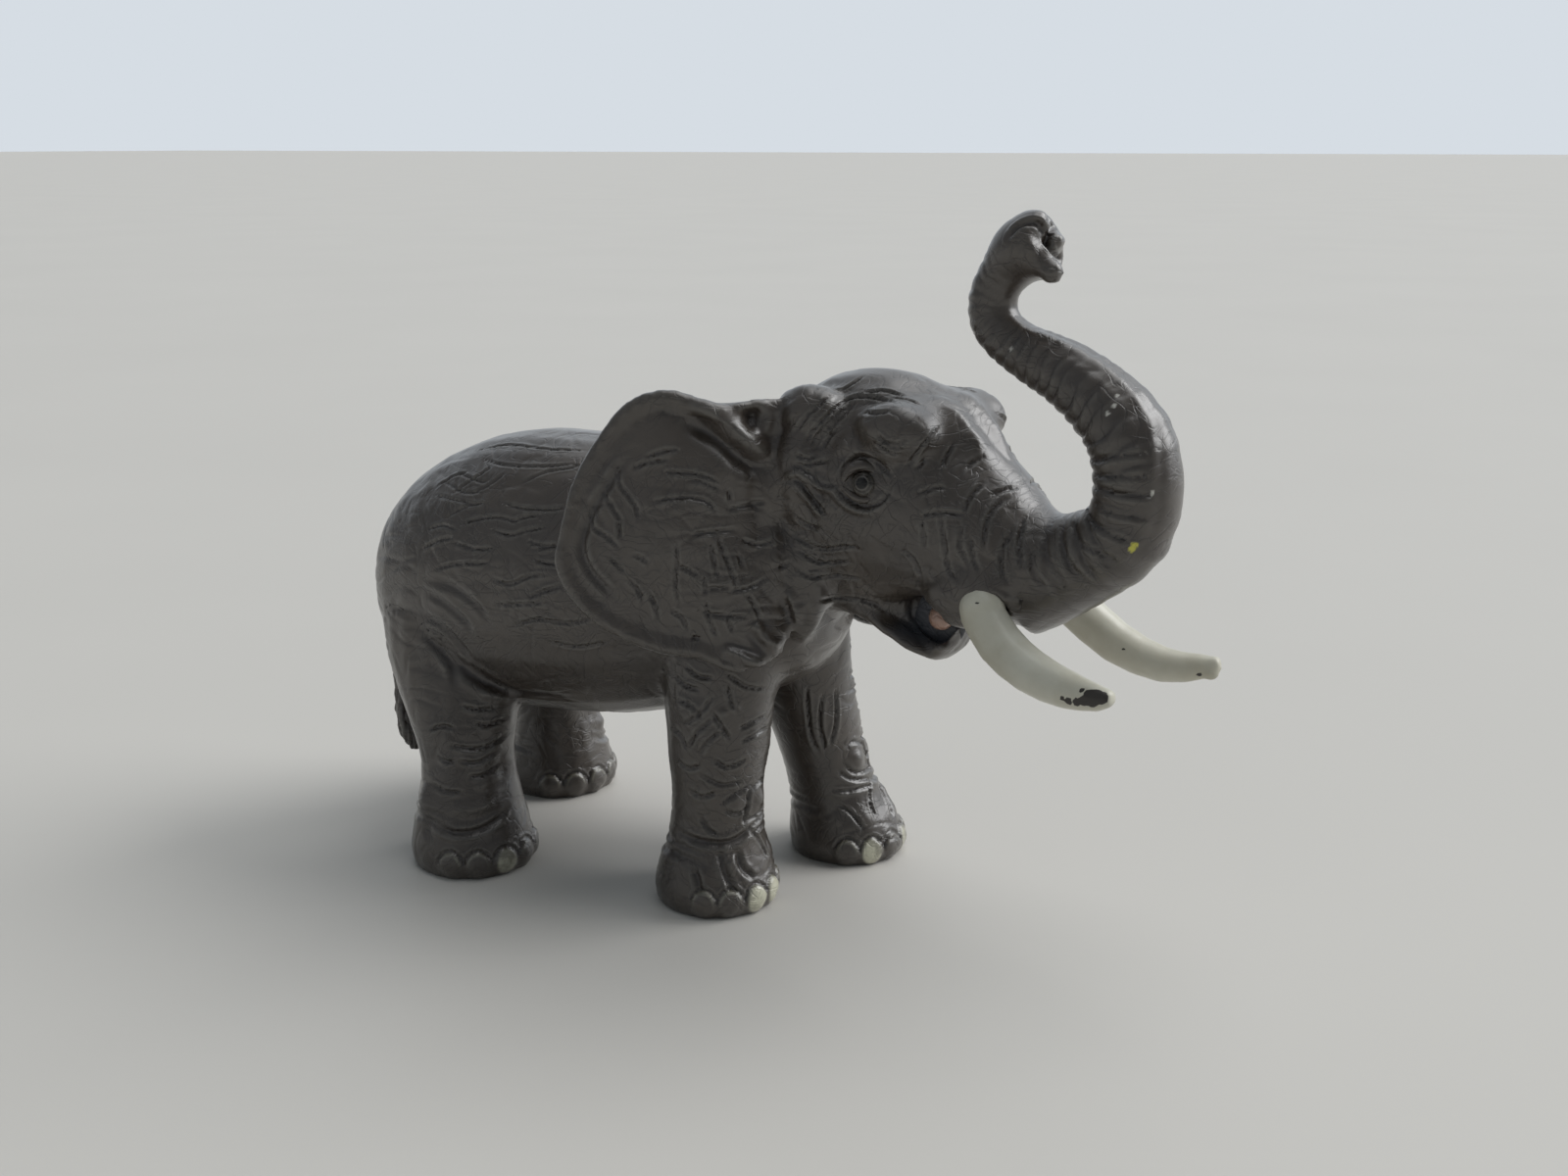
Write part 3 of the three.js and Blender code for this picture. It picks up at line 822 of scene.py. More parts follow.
FAR_FORE_CREASES: tuple[Path, ...] = (
    ((823, 700), (825, 730), (828, 752), (836, 770)),
    ((839, 708), (837, 740), (843, 768)),
    ((853, 702), (853, 738), (846, 764)),
    ((854, 786), (868, 795), (888, 794)),
    ((848, 807), (868, 807), (892, 800)),
    ((854, 821), (868, 830), (882, 848)),
    ((862, 766), (870, 757), (884, 760), (890, 774), (884, 786), (870, 788), (861, 778)),
)
HIND_CREASES: tuple[Path, ...] = (
    ((458, 760), (478, 764), (500, 761), (518, 748)),
    ((468, 777), (488, 778), (510, 765)),
    ((478, 793), (494, 791), (512, 779)),
    ((438, 745), (450, 741), (464, 743)),
    ((444, 772), (456, 778), (466, 776)),
    ((484, 738), (500, 740), (518, 732)),
    ((470, 720), (486, 724), (504, 722)),
    ((440, 800), (456, 808), (472, 808)),
)
HIND_FOLDS: tuple[Path, ...] = (
    ((464, 769), (480, 772), (498, 770), (516, 757)),
    ((474, 786), (492, 784), (512, 772)),
    ((482, 802), (497, 798), (514, 788)),
    ((460, 825), (482, 826), (506, 817)),
    ((486, 709), (503, 708), (522, 713)),
)
HIND_BUMPS: tuple[tuple[Pair, float, float], ...] = (
    ((434, 818), 2.4, 1.0),
    ((440, 778), 3.0, -0.7),
    ((436, 843), 1.5, -0.7),
    ((513, 786), 2.6, -0.6),
    ((493, 820), 2.2, 0.5),
)
HIND_ANKLE: tuple[Path, ...] = (((440, 842), (462, 850), (486, 848), (506, 838), (520, 824)),)
BROW_CREASES: tuple[Path, ...] = (
    ((821, 453), (832, 437), (845, 424), (862, 410), (880, 402)),
    ((827, 455), (838, 439), (850, 427), (868, 413)),
    ((833, 456), (842, 441), (853, 431), (864, 421), (873, 411)),
    ((839, 457), (845, 447), (853, 437)),
    ((811, 442), (822, 426), (835, 414), (848, 403)),
    ((806, 431), (815, 415), (830, 401)),
    ((802, 419), (810, 404), (824, 393)),
    ((847, 394), (857, 398), (868, 393), (881, 384)),
    ((862, 408), (880, 405), (900, 408), (919, 413)),
    ((882, 401), (902, 399), (923, 405)),
    ((906, 407), (925, 408), (940, 413)),
    ((878, 422), (893, 423), (908, 421)),
    ((895, 441), (903, 451), (918, 453), (926, 446)),
    ((893, 451), (905, 460), (918, 465)),
    ((898, 446), (908, 456), (922, 458)),
    ((925, 479), (935, 463), (948, 447), (958, 435)),
    ((959, 479), (967, 464), (974, 451)),
    ((936, 478), (946, 467)),
    ((811, 462), (820, 468), (834, 467)),
    ((808, 474), (822, 474), (846, 470)),
)
CHEEK_CREASES: tuple[Path, ...] = (
    ((799, 483), (813, 477), (826, 484), (838, 494), (856, 496)),
    ((801, 493), (812, 490), (824, 502), (838, 525)),
    ((820, 500), (832, 512), (843, 528)),
    ((812, 528), (824, 536), (836, 539)),
    ((809, 546), (836, 560), (865, 558), (880, 561)),
    ((814, 562), (838, 574), (868, 573)),
    ((806, 574), (826, 588), (856, 588), (880, 592)),
    ((836, 613), (869, 611), (892, 616), (905, 625)),
    ((983, 524), (990, 508), (1003, 493)),
    ((1003, 562), (1006, 536), (1014, 519), (1032, 506)),
    ((936, 505), (950, 499), (966, 497)),
    ((940, 526), (960, 523), (986, 526)),
    ((941, 531), (943, 560)),
    ((960, 524), (963, 551), (967, 578), (977, 595)),
    ((981, 533), (979, 558), (989, 575)),
    ((1034, 540), (1023, 560), (1022, 580), (1028, 596)),
    ((1046, 528), (1040, 552), (1042, 580)),
    ((990, 546), (992, 566), (999, 584)),
    ((1010, 506), (1024, 500), (1040, 497)),
    ((985, 478), (996, 470), (1006, 465)),
    ((920, 560), (932, 572), (940, 590)),
)
CHEEK_FOLDS: tuple[Path, ...] = (
    ((802, 488), (814, 483), (827, 491), (844, 499), (858, 500)),
    ((806, 497), (816, 500), (828, 513), (838, 528)),
)
UPPER_LID: Path = ((860, 491), (864, 483), (871, 477), (880, 475), (890, 478), (898, 485), (907, 491))
LID_LINE: Path = ((857, 490), (861, 477), (869, 469), (880, 466), (892, 469), (902, 478), (913, 488))
LOWER_LID: Path = ((859, 497), (867, 504), (877, 509), (887, 509), (896, 504), (902, 497), (905, 492))
BAG_LINE: Path = ((852, 498), (862, 508), (874, 516), (886, 518), (896, 514), (904, 505), (908, 496))
EYE_BAG: Path = ((846, 501), (857, 511), (869, 520), (886, 523), (900, 516))
BROW_EDGE: Path = ((850, 452), (868, 456), (888, 462), (906, 467), (918, 474))
JAW_RIM: Path = (
    (912, 610), (922, 624), (934, 640), (946, 653), (958, 661), (970, 661), (979, 653), (984, 643),
)
TRUNK_CREASES: tuple[Path, ...] = (
    ((1112, 470), (1140, 466), (1171, 462)),
    ((1116, 487), (1140, 487), (1172, 486)),
    ((1116, 500), (1143, 504), (1175, 508)),
    ((1111, 512), (1134, 524), (1168, 531)),
    ((1107, 528), (1125, 542), (1154, 554)),
    ((1096, 531), (1102, 553), (1123, 565), (1146, 576)),
    ((1084, 548), (1089, 571), (1104, 589), (1121, 598)),
    ((1066, 539), (1067, 565), (1078, 583), (1088, 602)),
    ((1052, 560), (1055, 585), (1068, 603)),
)
PARTING_RIDGE: Path = (
    (1023, 299), (1040, 332), (1067, 343), (1094, 355), (1125, 374), (1151, 397), (1169, 425),
    (1176, 458), (1174, 488), (1170, 530), (1158, 555), (1135, 585), (1120, 600),
)
TRUNK_MARKS = (
    Mark(Form.FOLD, PARTING_RIDGE, 0.9, 0.2),
    Mark(Form.DENT, ((1068, 247),), 0.7, 0.9, False),
    Mark(Form.DENT, ((1073, 237),), 0.55, 0.7, False),
    Mark(Form.DENT, ((1082, 263),), 0.6, 0.7, False),
    Mark(Form.CREASE, ((1066, 240), (1070, 252), (1077, 263), (1087, 267)), 0.45, 0.7, False),
    Mark(Form.CREASE, ((1070, 246), (1071, 236), (1076, 228)), 0.45, 0.7, False),
    Mark(Form.CREASE, ((1028, 243), (1037, 232), (1048, 227), (1060, 229), (1066, 240)), 0.5, 0.6, False),
    *marks(Form.CREASE, 0.45, 0.25, TRUNK_CREASES),
)
PALE_FLECKS: Path = ((1140, 403), (1137, 414), (1130, 422), (1031, 356), (1176, 503))
YELLOW_STRAY: Path = ((1155, 560), (1158, 556))
EYE: Pair = (879, 493)
FACE_MARKS = (
    Mark(Form.SWELL, ((884, 436),), 5.4, 0.45),
    Mark(Form.FOLD, BROW_EDGE, 1.2, 0.5),
    Mark(Form.DENT, (EYE,), 4.6, 0.7),
    Mark(Form.DENT, (EYE,), 2.0, 0.5),
    Mark(Form.CREASE, LID_LINE, 0.4, 0.5),
    Mark(Form.CREASE, BAG_LINE, 0.35, 0.4),
    Mark(Form.FOLD, EYE_BAG, 0.7, 0.45),
    Mark(Form.FOLD, JAW_RIM, 0.8, 0.4, False),
    *marks(Form.FOLD, 0.8, 0.45, CHEEK_FOLDS),
    *marks(Form.CREASE, 0.32, 0.42, BROW_CREASES),
    *marks(Form.CREASE, 0.34, 0.42, CHEEK_CREASES),
)


@dataclass
class Torso:
    """The body's relief: creases over the back and flanks, and the folds of the hip."""

    crease_width: float = 0.32
    crease_depth: float = 0.36
    back_depth_share: float = 0.7
    fold_width: float = 0.8
    fold_depth: float = 0.38
    hip_width: float = 1.1
    hip_depth: float = 0.6

    def sculpt(self, chisel: Chisel) -> None:
        """Adds the body's marks."""
        back_depth = self.crease_depth * self.back_depth_share
        chisel.carve(marks(Form.CREASE, self.crease_width, back_depth, BACK_CREASES))
        chisel.carve(marks(Form.CREASE, self.crease_width, self.crease_depth, FLANK_CREASES))
        chisel.carve(marks(Form.CREASE, self.fold_width, self.fold_depth, HIP_FOLDS))
        chisel.carve(marks(Form.CREASE, self.hip_width, self.hip_depth, THIGH_LINE))


@dataclass
class Leg:
    """A leg's relief: the rings above the foot and the toenails.

    A size is a mark's half width and its depth, and a wave the rise of a ring and of its third part.
    """

    sole: Pair
    heading: float
    painted: tuple[int, ...] = (2, 3)
    ankle: float = 10.0
    ankle_gap: float = 2.4
    ankle_size: Pair = (0.75, 0.35)
    ankle_wave: Pair = (0.9, 0.5)
    upper_ring_share: float = 0.7
    fewest_points: int = 13
    search: float = 30.0
    nails: tuple[float, ...] = (-66, -40, -13, 13, 40)
    nail_height: float = 2.9
    nail_radius: float = 2.0
    nail_lift: float = 0.8
    nail_stretch_share: float = 1.25
    groove_rise_share: float = 1.45
    groove_size: Pair = (0.34, 0.4)
    foot_radius: float = 11.0
    paint_edge_shares: Pair = (0.85, 1.15)
    rim_highlight_share: float = 0.3
    rim_highlight_edge_share: float = 0.75
    rim_highlight_levels: Pair = (-0.5, 1.5)

    def sculpt(self, chisel: Chisel) -> None:
        """Adds the ankle's rings and the nails.

        Args:
            chisel: the tool on the whole skin.
        """
        width, depth = self.ankle_size
        first, second = self.ankle_wave
        for ring, share in enumerate((1.0, self.upper_ring_share)):
            line = []
            for angle in range(0, 361, 10):
                wave = math.radians(angle)
                level = self.ankle + ring * self.ankle_gap
                level += first * math.sin(wave * 2 + ring) + second * math.sin(wave * 3)
                line += self.surface(chisel, angle, level)
            if len(line) >= self.fewest_points:
                chisel.press(np.array(line), Form.CREASE, width * share, depth * share)
        for k, angle in enumerate(self.nails):
            found = self.surface(chisel, self.heading + angle, self.nail_height)
            if found:
                self.nail(chisel, self.heading + angle, found[0], k in self.painted)

    def nail(self, chisel: Chisel, angle: float, place: np.ndarray, painted: bool) -> None:
        """Adds one nail with the groove over it.

        Args:
            chisel: the tool on the whole skin.
            angle: which way the nail points, in degrees.
            place: its middle.
            painted: whether most of it is painted; if not, only a faint painted highlight lies along its
                upper edge.
        """
        radius = self.nail_radius
        chisel.press(place[None], Form.LUMP, radius, self.nail_lift)
        groove = []
        for degrees in range(-90, 91, 15):
            turn = math.radians(degrees)
            aside = math.sin(turn) * radius * self.nail_stretch_share
            level = self.nail_height + math.cos(turn) * radius * self.groove_rise_share
            groove += self.surface(chisel, angle + math.degrees(aside / self.foot_radius), level)
        chisel.press(np.array(groove), Form.CREASE, *self.groove_size)
        points = chisel.clay.points
        away = np.linalg.norm((points - place) / [1, 1, self.nail_stretch_share], axis=1)
        inner, outer = self.paint_edge_shares
        share = fall(away, radius * inner, radius * outer)
        # An unpainted nail gets only a painted highlight: a faint pale rim on its upper edge.
        if not painted:
            low, high = self.rim_highlight_levels
            share *= self.rim_highlight_share * ease(away, radius * self.rim_highlight_edge_share, radius)
            share *= ease(points[:, 2], self.nail_height + low, self.nail_height + high)
        values = chisel.clay.masks[Mask.NAIL]
        values[:] = np.maximum(values, share)

    def surface(self, chisel: Chisel, angle: float, level: float) -> list[np.ndarray]:
        """Where a line from the leg's axis comes out of it.

        Args:
            chisel: the tool that holds the form.
            angle: the line's direction, in degrees.
            level: its height.

        Returns:
            The point in millimetres, or nothing.
        """
        turn = math.radians(angle)
        start = Vector((*self.sole, level)) * MM
        hit = chisel.tree.ray_cast(start, Vector((math.cos(turn), math.sin(turn), 0)), self.search * MM)[0]
        return [] if hit is None else [np.array(hit) / MM]


@dataclass(frozen=True)
class LegMarks:
    """Marks seen on one leg, which its partner on the other side gets too.

    The shift is how far forward the partner stands, at the ground, and falls to none at a height. A size is
    a mark's half width and its height.
    """

    creases: tuple[Path, ...]
    shift: float
    folds: tuple[Path, ...] = ()
    deep: tuple[Path, ...] = ()
    bumps: tuple[tuple[Pair, float, float], ...] = ()
    fixed_height: float = 60.0
    crease_size: Pair = (0.36, 0.46)
    fold_size: Pair = (1.1, 0.3)
    deep_size: Pair = (0.6, 0.6)

    def sculpt(self, chisel: Chisel) -> None:
        """Presses the marks into both legs.

        Args:
            chisel: the tool on the whole skin.
        """
        found = marks(Form.CREASE, *self.crease_size, self.creases)
        found += marks(Form.FOLD, *self.fold_size, self.folds)
        found += marks(Form.CREASE, *self.deep_size, self.deep)
        found += [Mark(Form.SWELL, (spot,), width, height) for spot, width, height in self.bumps]
        for mark in found:
            line = chisel.seen(mark.path)
            if len(line) == 0:
                continue
            chisel.press(line, mark.form, mark.width, mark.height)
            other = chisel.axes.mirrored(line)
            other[:, 0] += self.shift * (1 - other[:, 2] / self.fixed_height)
            chisel.press(chisel.dropped(other), mark.form, mark.width, mark.height)


LEG_MARKS = (
    LegMarks(FORE_CREASES, 12.6, deep=FORE_ANKLE + FORE_TOES, bumps=FORE_BUMPS),
    LegMarks(FAR_FORE_CREASES, -12.6, bumps=(((875, 774), 1.9, 0.9), ((884, 838), 2.4, 0.5))),
    LegMarks(HIND_CREASES, -7.5, folds=HIND_FOLDS, deep=HIND_ANKLE, bumps=HIND_BUMPS),
)


@dataclass
class Trunk:
    """The trunk's relief, laid out along its centreline in the head's axes."""

    centreline: Path = (
        (38.2, 67.3), (48.5, 72.2), (53.6, 76.6), (54.6, 84.8), (52.4, 91.5), (47.5, 96.4),
        (40.6, 100.6), (32.6, 103.6), (27.7, 107.5), (27.3, 112.3), (29.8, 115.9), (34.6, 119.9),
    )
    lobe_places: tuple[tuple[Triple, float], ...] = (
        ((34.2, 1.0, 69.3), 2.1),
        ((31.9, 0.8, 68.6), 2.2),
        ((36.4, 3.4, 66.4), 1.8),
        ((35.4, 2.9, 64.6), 1.8),
        ((34.9, -2.5, 66.0), 2.7),
        ((36.8, -2.6, 64.4), 2.3),
        ((39.3, -2.5, 62.1), 2.2),
        ((37.3, 1.9, 66.4), 1.9),
        ((38.3, 0.2, 66.5), 1.7),
        ((36.0, -1.8, 69.6), 2.2),
    )
    line_step: float = 0.4
    ring_gap: float = 3.2
    tip_gap_share: float = 0.75
    tip_gap_range: Pair = (30.0, 90.0)
    ring_depth: float = 0.46
    ring_wander: float = 1.3
    wander_length: float = 5.0
    valley_widths: Pair = (0.42, 0.95)
    front_share: float = 0.25
    front_range: Pair = (0.35, 0.8)
    root_range: Pair = (2.0, 9.0)
    upper_share: float = 0.3
    upper_range: Pair = (40.0, 70.0)
    tip_range: Pair = (9.0, 3.0)
    depth_range: Pair = (0.75, 0.6)
    ring_shade_share: float = 0.7
    fleck_radius: float = 0.34
    stray_radius: float = 0.55

    def lobes(self) -> list[bpy.types.Mesh]:
        """The finger above the nostrils and the two lobes beside and below them."""
        found = []
        for place, size in self.lobe_places:
            found.append(lump(HEAD_AXES.to_figure(np.array(place)), (size,) * 3))
        return found

    def line(self) -> np.ndarray:
        """The centreline in the figure."""
        flat = smooth_line(np.array(self.centreline), self.line_step)
        local = np.stack([flat[:, 0], np.zeros(len(flat)), flat[:, 1] - HEAD_AXES.origin[2]], axis=1)
        return HEAD_AXES.to_figure(local)

    def sculpt(self, chisel: Chisel, member: np.ndarray) -> None:
        """Adds the rings, which are faint on the front face, with painted shade in their valleys, the drawn
        marks and the stray paint.

        Args:
            chisel: the tool on the whole skin.
            member: for each point of the skin, whether it is the trunk's.
        """
        clay = chisel.clay
        line = self.line()
        steps = np.linalg.norm(np.diff(line, axis=0), axis=1)
        lengths = np.concatenate([[0], np.cumsum(steps)])
        index = np.flatnonzero(member)
        points = clay.points[index]
        nearest = np.argmin(((points[:, None, :] - line[None, :, :]) ** 2).sum(2), axis=1)
        tangent = np.gradient(line, axis=0)
        tangent /= np.linalg.norm(tangent, axis=1)[:, None]
        aside = HEAD_AXES.matrix()[:, 1]
        outer = np.cross(aside, tangent)
        away = points - line[nearest]
        angle = np.arctan2(away @ aside, np.einsum("ij,ij->i", away, outer[nearest]))
        along = lengths[nearest] + np.einsum("ij,ij->i", away, tangent[nearest])
        round_about = np.stack([np.cos(angle), np.sin(angle)], axis=1) * self.ring_wander
        places = ((*way, s / self.wander_length) for way, s in zip(round_about, along))
        wave = np.array([noise.noise(Vector(place)) for place in places])
        gap = self.ring_gap * (1 - (1 - self.tip_gap_share) * ease(along, *self.tip_gap_range))
        phase = (along + self.ring_wander * wave) / gap
        turned = (phase - np.round(phase)) * gap
        valley = np.exp(-((turned / np.where(turned < 0, *self.valley_widths)) ** 2))
        far, close = self.tip_range
        fade = 1 - (1 - self.front_share) * ease(np.cos(angle), *self.front_range)
        upper = ease(along, *self.upper_range)
        fade *= ease(along, *self.root_range) * (1 - (1 - self.upper_share) * upper)
        fade *= fall(along, lengths[-1] - far, lengths[-1] - close)
        least, more = self.depth_range
        chisel.push[index] -= self.ring_depth * valley * fade * (least + more * wave)
        # Painted shade in the rings' valleys.
        crease_shade = clay.masks[Mask.CREASE]
        crease_shade[index] = np.maximum(crease_shade[index], self.ring_shade_share * valley * fade)
        chisel.carve(TRUNK_MARKS)
        chisel.paint(PALE_FLECKS, self.fleck_radius, Mask.FLECK)
        chisel.paint(YELLOW_STRAY, self.stray_radius, Mask.STRAY)


@dataclass
class Head:
    """The head's relief: eyes in their sockets, brow, cheek and the painted mouth.

    Places are forward, aside and up along the head's axes. A profile gives heights against the way forward.
    """

    eye_radius: float = 2.1
    eye_depth: float = 1.95
    lid_lift_share: float = 0.1
    tongue_bumps: tuple[tuple[Triple, Triple, Mask], ...] = (
        ((21.2, -3.2, 3.2), (2.2, 2.15, 2.2), Mask.TONGUE),
        ((18.6, -0.3, 1.8), (5.8, 1.4, 5.2), Mask.JAW),
    )
    jaw_ends: Pair = (8.0, 27.0)
    jaw_half_width: float = 11.0
    jaw_floor: Profile = ((5, 0), (9, -0.3), (12, -1.3), (18, -3.7), (22.5, -5.1), (24.5, -4.2))
    jaw_under: float = 2.0
    jaw_bottom: Profile = ((8, 0.2), (12, -1.9), (16.2, -4.0), (20.4, -4.9), (22.6, -3.6), (24.6, -0.4))
    jaw_top: Profile = ((8, 4.4), (14, 2.2), (18, 0.7), (21, 1.1), (24.6, 2.9))
    jaw_tip: float = 22.5
    jaw_tip_share: float = 0.65
    jaw_paint: Pair = (12.0, 15.0)
    jaw_paint_shares: Pair = (0.35, 0.7)
    lip: Profile = ((5, 5.0), (35, 2.0))
    lip_band: float = 6.0
    lip_half_width: float = 12.0
    lip_rise: float = 2.1
    lip_ends: tuple[float, ...] = (12, 18, 24.5, 27.5)
    spoon_depth: float = 0.6
    spoon_ends: tuple[float, ...] = (11, 15, 21, 24)
    spoon_width: Pair = (1.5, 4.5)
    spoon_facing: Pair = (0.2, 0.8)
    soft_passes: int = 26
    forehead_ends: tuple[float, ...] = (11, 15, 30, 36)
    forehead_levels: Pair = (24.0, 29.0)
    forehead_width: Pair = (10.0, 13.0)
    throat_ends: tuple[float, ...] = (-12, -8, 8, 12)
    throat_levels: tuple[float, ...] = (-22, -16, 2, 7)
    swellings: tuple[tuple[Triple, Triple], ...] = (
        ((28.2, 8.2, 10.2), (7.6, 5.4, 6.6)),
        ((-1.0, 10.2, 36.3), (7.5, 5.5, 6.0)),
        ((16.5, 7.5, 34.5), (8.0, 6.2, 6.8)),
        ((18.2, 3.0, 34.0), (8.6, 6.0, 7.8)),
        ((21.4, 5.4, 29.5), (5.8, 4.4, 5.8)),
        ((22.6, 3.2, 31.2), (7.2, 4.6, 7.2)),
        ((20.5, 5.0, 26.0), (6.2, 5.0, 8.5)),
        ((-2.5, 12.4, 9.0), (6.5, 4.6, 13.0)),
        ((-1.5, 13.5, 26.0), (5.5, 4.0, 10.0)),
        ((-5.8, 15.4, 22.0), (2.8, 3.4, 9.0)),
        ((-4.4, 16.2, 9.0), (2.8, 4.2, 9.5)),
    )

    def lumps(self) -> list[bpy.types.Mesh]:
        """The flesh round both tusks, the domes over temples and brow, and what joins head and ears."""
        found = []
        for (u, side, height), sizes in self.swellings:
            for way in (1, -1):
                place = HEAD_AXES.to_figure(np.array([u, way * side, height]))
                found.append(lump(place, sizes, HEAD_AXES.turn))
        return found

    def open_mouth(self, clay: Clay) -> None:
        """Thins the lower jaw to a spoon, so that the mouth stands open.

        Args:
            clay: the smooth skin.
        """
        local = HEAD_AXES.to_local(clay.points)
        u, side, height = local.T
        wide = np.abs(side)
        lip = along_profile(self.lip, u)
        floor = along_profile(self.jaw_floor, u)
        in_jaw = (u > self.jaw_ends[0]) & (u < self.jaw_ends[1]) & (wide < self.jaw_half_width)
        in_jaw &= (height < lip) & (height > floor - self.jaw_under)
        share = np.clip((height - floor) / (lip - floor), 0, 1)
        bottom = along_profile(self.jaw_bottom, u)
        top = along_profile(self.jaw_top, u)
        spoon = ease(clay.normals[:, 2], *self.spoon_facing) * fall(wide, *self.spoon_width)
        spoon *= plateau(u, self.spoon_ends)
        moved = bottom + share * (top - bottom) + np.minimum(height - floor, 0) - self.spoon_depth * spoon
        in_lip = (height >= lip) & (height < lip + self.lip_band) & (wide < self.lip_half_width)
        rise = self.lip_rise * plateau(u, self.lip_ends) * (1 - (height - lip) / self.lip_band)
        local[:, 2] = np.where(in_jaw, moved, np.where(in_lip, height + rise, height))
        shorter = self.jaw_tip + (u - self.jaw_tip) * self.jaw_tip_share
        local[:, 0] = np.where(in_jaw & (u > self.jaw_tip), shorter, u)
        painted = ease(u, *self.jaw_paint) * ease(share, *self.jaw_paint_shares)
        clay.masks[Mask.JAW][:] = np.where(in_jaw, painted, 0)
        clay.points = HEAD_AXES.to_figure(local)
        clay.settle()

    def soften(self, clay: Clay, solid: np.ndarray) -> None:
        """Rounds off the joins between the lumps of the forehead, and those at the throat.

        Args:
            clay: the smooth skin.
            solid: for each point, 1 where the skin isn't an ear's.
        """
        u, side, height = HEAD_AXES.to_local(clay.points).T
        forehead = ease(height, *self.forehead_levels) * fall(np.abs(side), *self.forehead_width)
        forehead *= plateau(u, self.forehead_ends)
        throat = plateau(height, self.throat_levels) * plateau(u, self.throat_ends)
        share = np.maximum(forehead, throat * solid)[:, None]
        for _ in range(self.soft_passes):
            clay.points += 0.5 * share * (clay.neighbour_mean(clay.points) - clay.points)
        clay.settle()

    def sculpt(self, chisel: Chisel) -> None:
        """Adds the head's marks."""
        chisel.carve(FACE_MARKS)

    def eyes(self, chisel: Chisel) -> list["Eye"]:
        """Places both eyes with their lids.

        Args:
            chisel: the tool, before the socket was pressed in.

        Returns:
            The right and the left eye.
        """
        front = chisel.seen((EYE,))
        found = []
        for place in (front[0], chisel.dropped(HEAD_AXES.mirrored(front))[0]):
            near = np.argmin(np.linalg.norm(chisel.clay.points - place, axis=1))
            look = chisel.clay.normals[near]
            found.append(Eye(self.eye_radius, place - look * self.eye_depth, look))
        right, left = found
        for path, size in ((UPPER_LID, 1.1), (LOWER_LID, 0.75)):
            line = right.round_ball(chisel.camera, path, size * self.lid_lift_share)
            right.lids.append((line, size))
            other = HEAD_AXES.mirrored(line)
            left.lids.append((other + left.centre - HEAD_AXES.mirrored(right.centre[None])[0], size))
        return found


@dataclass
class Eye:
    """An eyeball and the lids that lie round it."""

    radius: float
    centre: np.ndarray
    look: np.ndarray
    lids: list[tuple[np.ndarray, float]] = field(default_factory=list)
    line_step: float = 2.0  # points of the photograph
    pupil_radius: float = 0.98
    ring_radius: float = 1.45
    ring_width: float = 0.16
    ring_depth: float = 0.07
    ring_paint: float = 0.6

    def round_ball(self, camera: PhotoCamera, path: Path, off: float) -> np.ndarray:
        """A line drawn in the photograph, laid on the eyeball.

        Args:
            camera: the photograph's viewpoint.
            path: the line's points in the picture.
            off: how far outside the ball it lies.

        Returns:
            The line's points.
        """
        start = np.array(camera.location)
        reach = self.radius + off
        found = []
        for point in smooth_line(np.array(path, float), self.line_step):
            way = camera.sight(point)
            middle = (self.centre - start) @ way
            aside = np.linalg.norm(start + middle * way - self.centre)
            depth = math.sqrt(max(reach * reach - aside * aside, 0))
            out = start + (middle - depth) * way - self.centre
            found.append(self.centre + out / np.linalg.norm(out) * max(aside, reach))
        return np.array(found)

    def lid_meshes(self) -> list[bpy.types.Mesh]:
        """The lids, as tapered round strips."""
        return [strip(line, size) for line, size in self.lids]


EAR_CREASES: tuple[Path, ...] = (
    ((629, 476), (633, 495), (648, 515), (652, 530)),
    ((614, 499), (625, 518), (635, 534)),
    ((602, 518), (606, 538), (621, 549), (633, 561)),
    ((631, 531), (633, 549)),
    ((658, 468), (675, 461), (693, 459)),
    ((646, 478), (660, 472), (683, 469)),
    ((675, 482), (702, 483), (721, 487), (733, 493)),
    ((701, 490), (715, 491), (735, 500)),
    ((664, 513), (687, 509), (710, 509), (725, 515), (731, 528)),
    ((731, 545), (739, 565), (748, 588), (752, 603)),
    ((725, 553), (729, 576), (733, 593)),
    ((754, 565), (758, 580)),
    ((704, 547), (725, 543), (752, 541)),
    ((764, 513), (781, 513)),
    ((744, 500), (745, 511)),
    ((742, 521), (764, 516), (778, 520)),
    ((756, 551), (774, 556), (791, 551)),
    ((795, 580), (810, 572)),
    ((691, 549), (691, 572), (689, 595), (693, 618)),
    ((718, 588), (720, 607)),
    ((721, 601), (745, 599)),
    ((745, 603), (757, 602), (772, 597), (784, 588)),
    ((691, 576), (706, 584), (714, 588)),
    ((646, 566), (656, 570), (662, 576)),
    ((621, 568), (637, 584)),
    ((683, 622), (695, 630), (702, 645)),
    ((660, 600), (668, 618), (671, 634)),
    ((640, 590), (652, 604), (655, 616)),
    ((706, 651), (714, 651)),
    ((741, 630), (748, 645)),
    ((712, 622), (730, 628), (764, 630)),
    ((720, 612), (724, 634), (732, 652)),
    ((763, 606), (772, 622), (775, 632)),
)
EAR_RIM_VALLEY: Path = (
    (645, 462), (630, 480), (615, 502), (603, 523), (595, 545), (594, 564), (602, 583), (617, 600),
    (636, 616),
)
EAR_ROLL: Path = ((700, 413), (722, 419), (740, 430), (756, 444), (774, 458), (788, 468))
EAR_ROLL_SHADOW: Path = ((694, 431), (716, 439), (736, 452), (756, 468), (776, 478), (790, 480))
EAR_LOBE_RIDGES: tuple[Path, ...] = (
    ((768, 635), (780, 651), (795, 662), (809, 662)),
    ((803, 602), (813, 625), (811, 639)),
    ((735, 662), (752, 668), (770, 676), (790, 677)),
)
EAR_SWELLING: Path = ((690, 500), (686, 540), (690, 580))
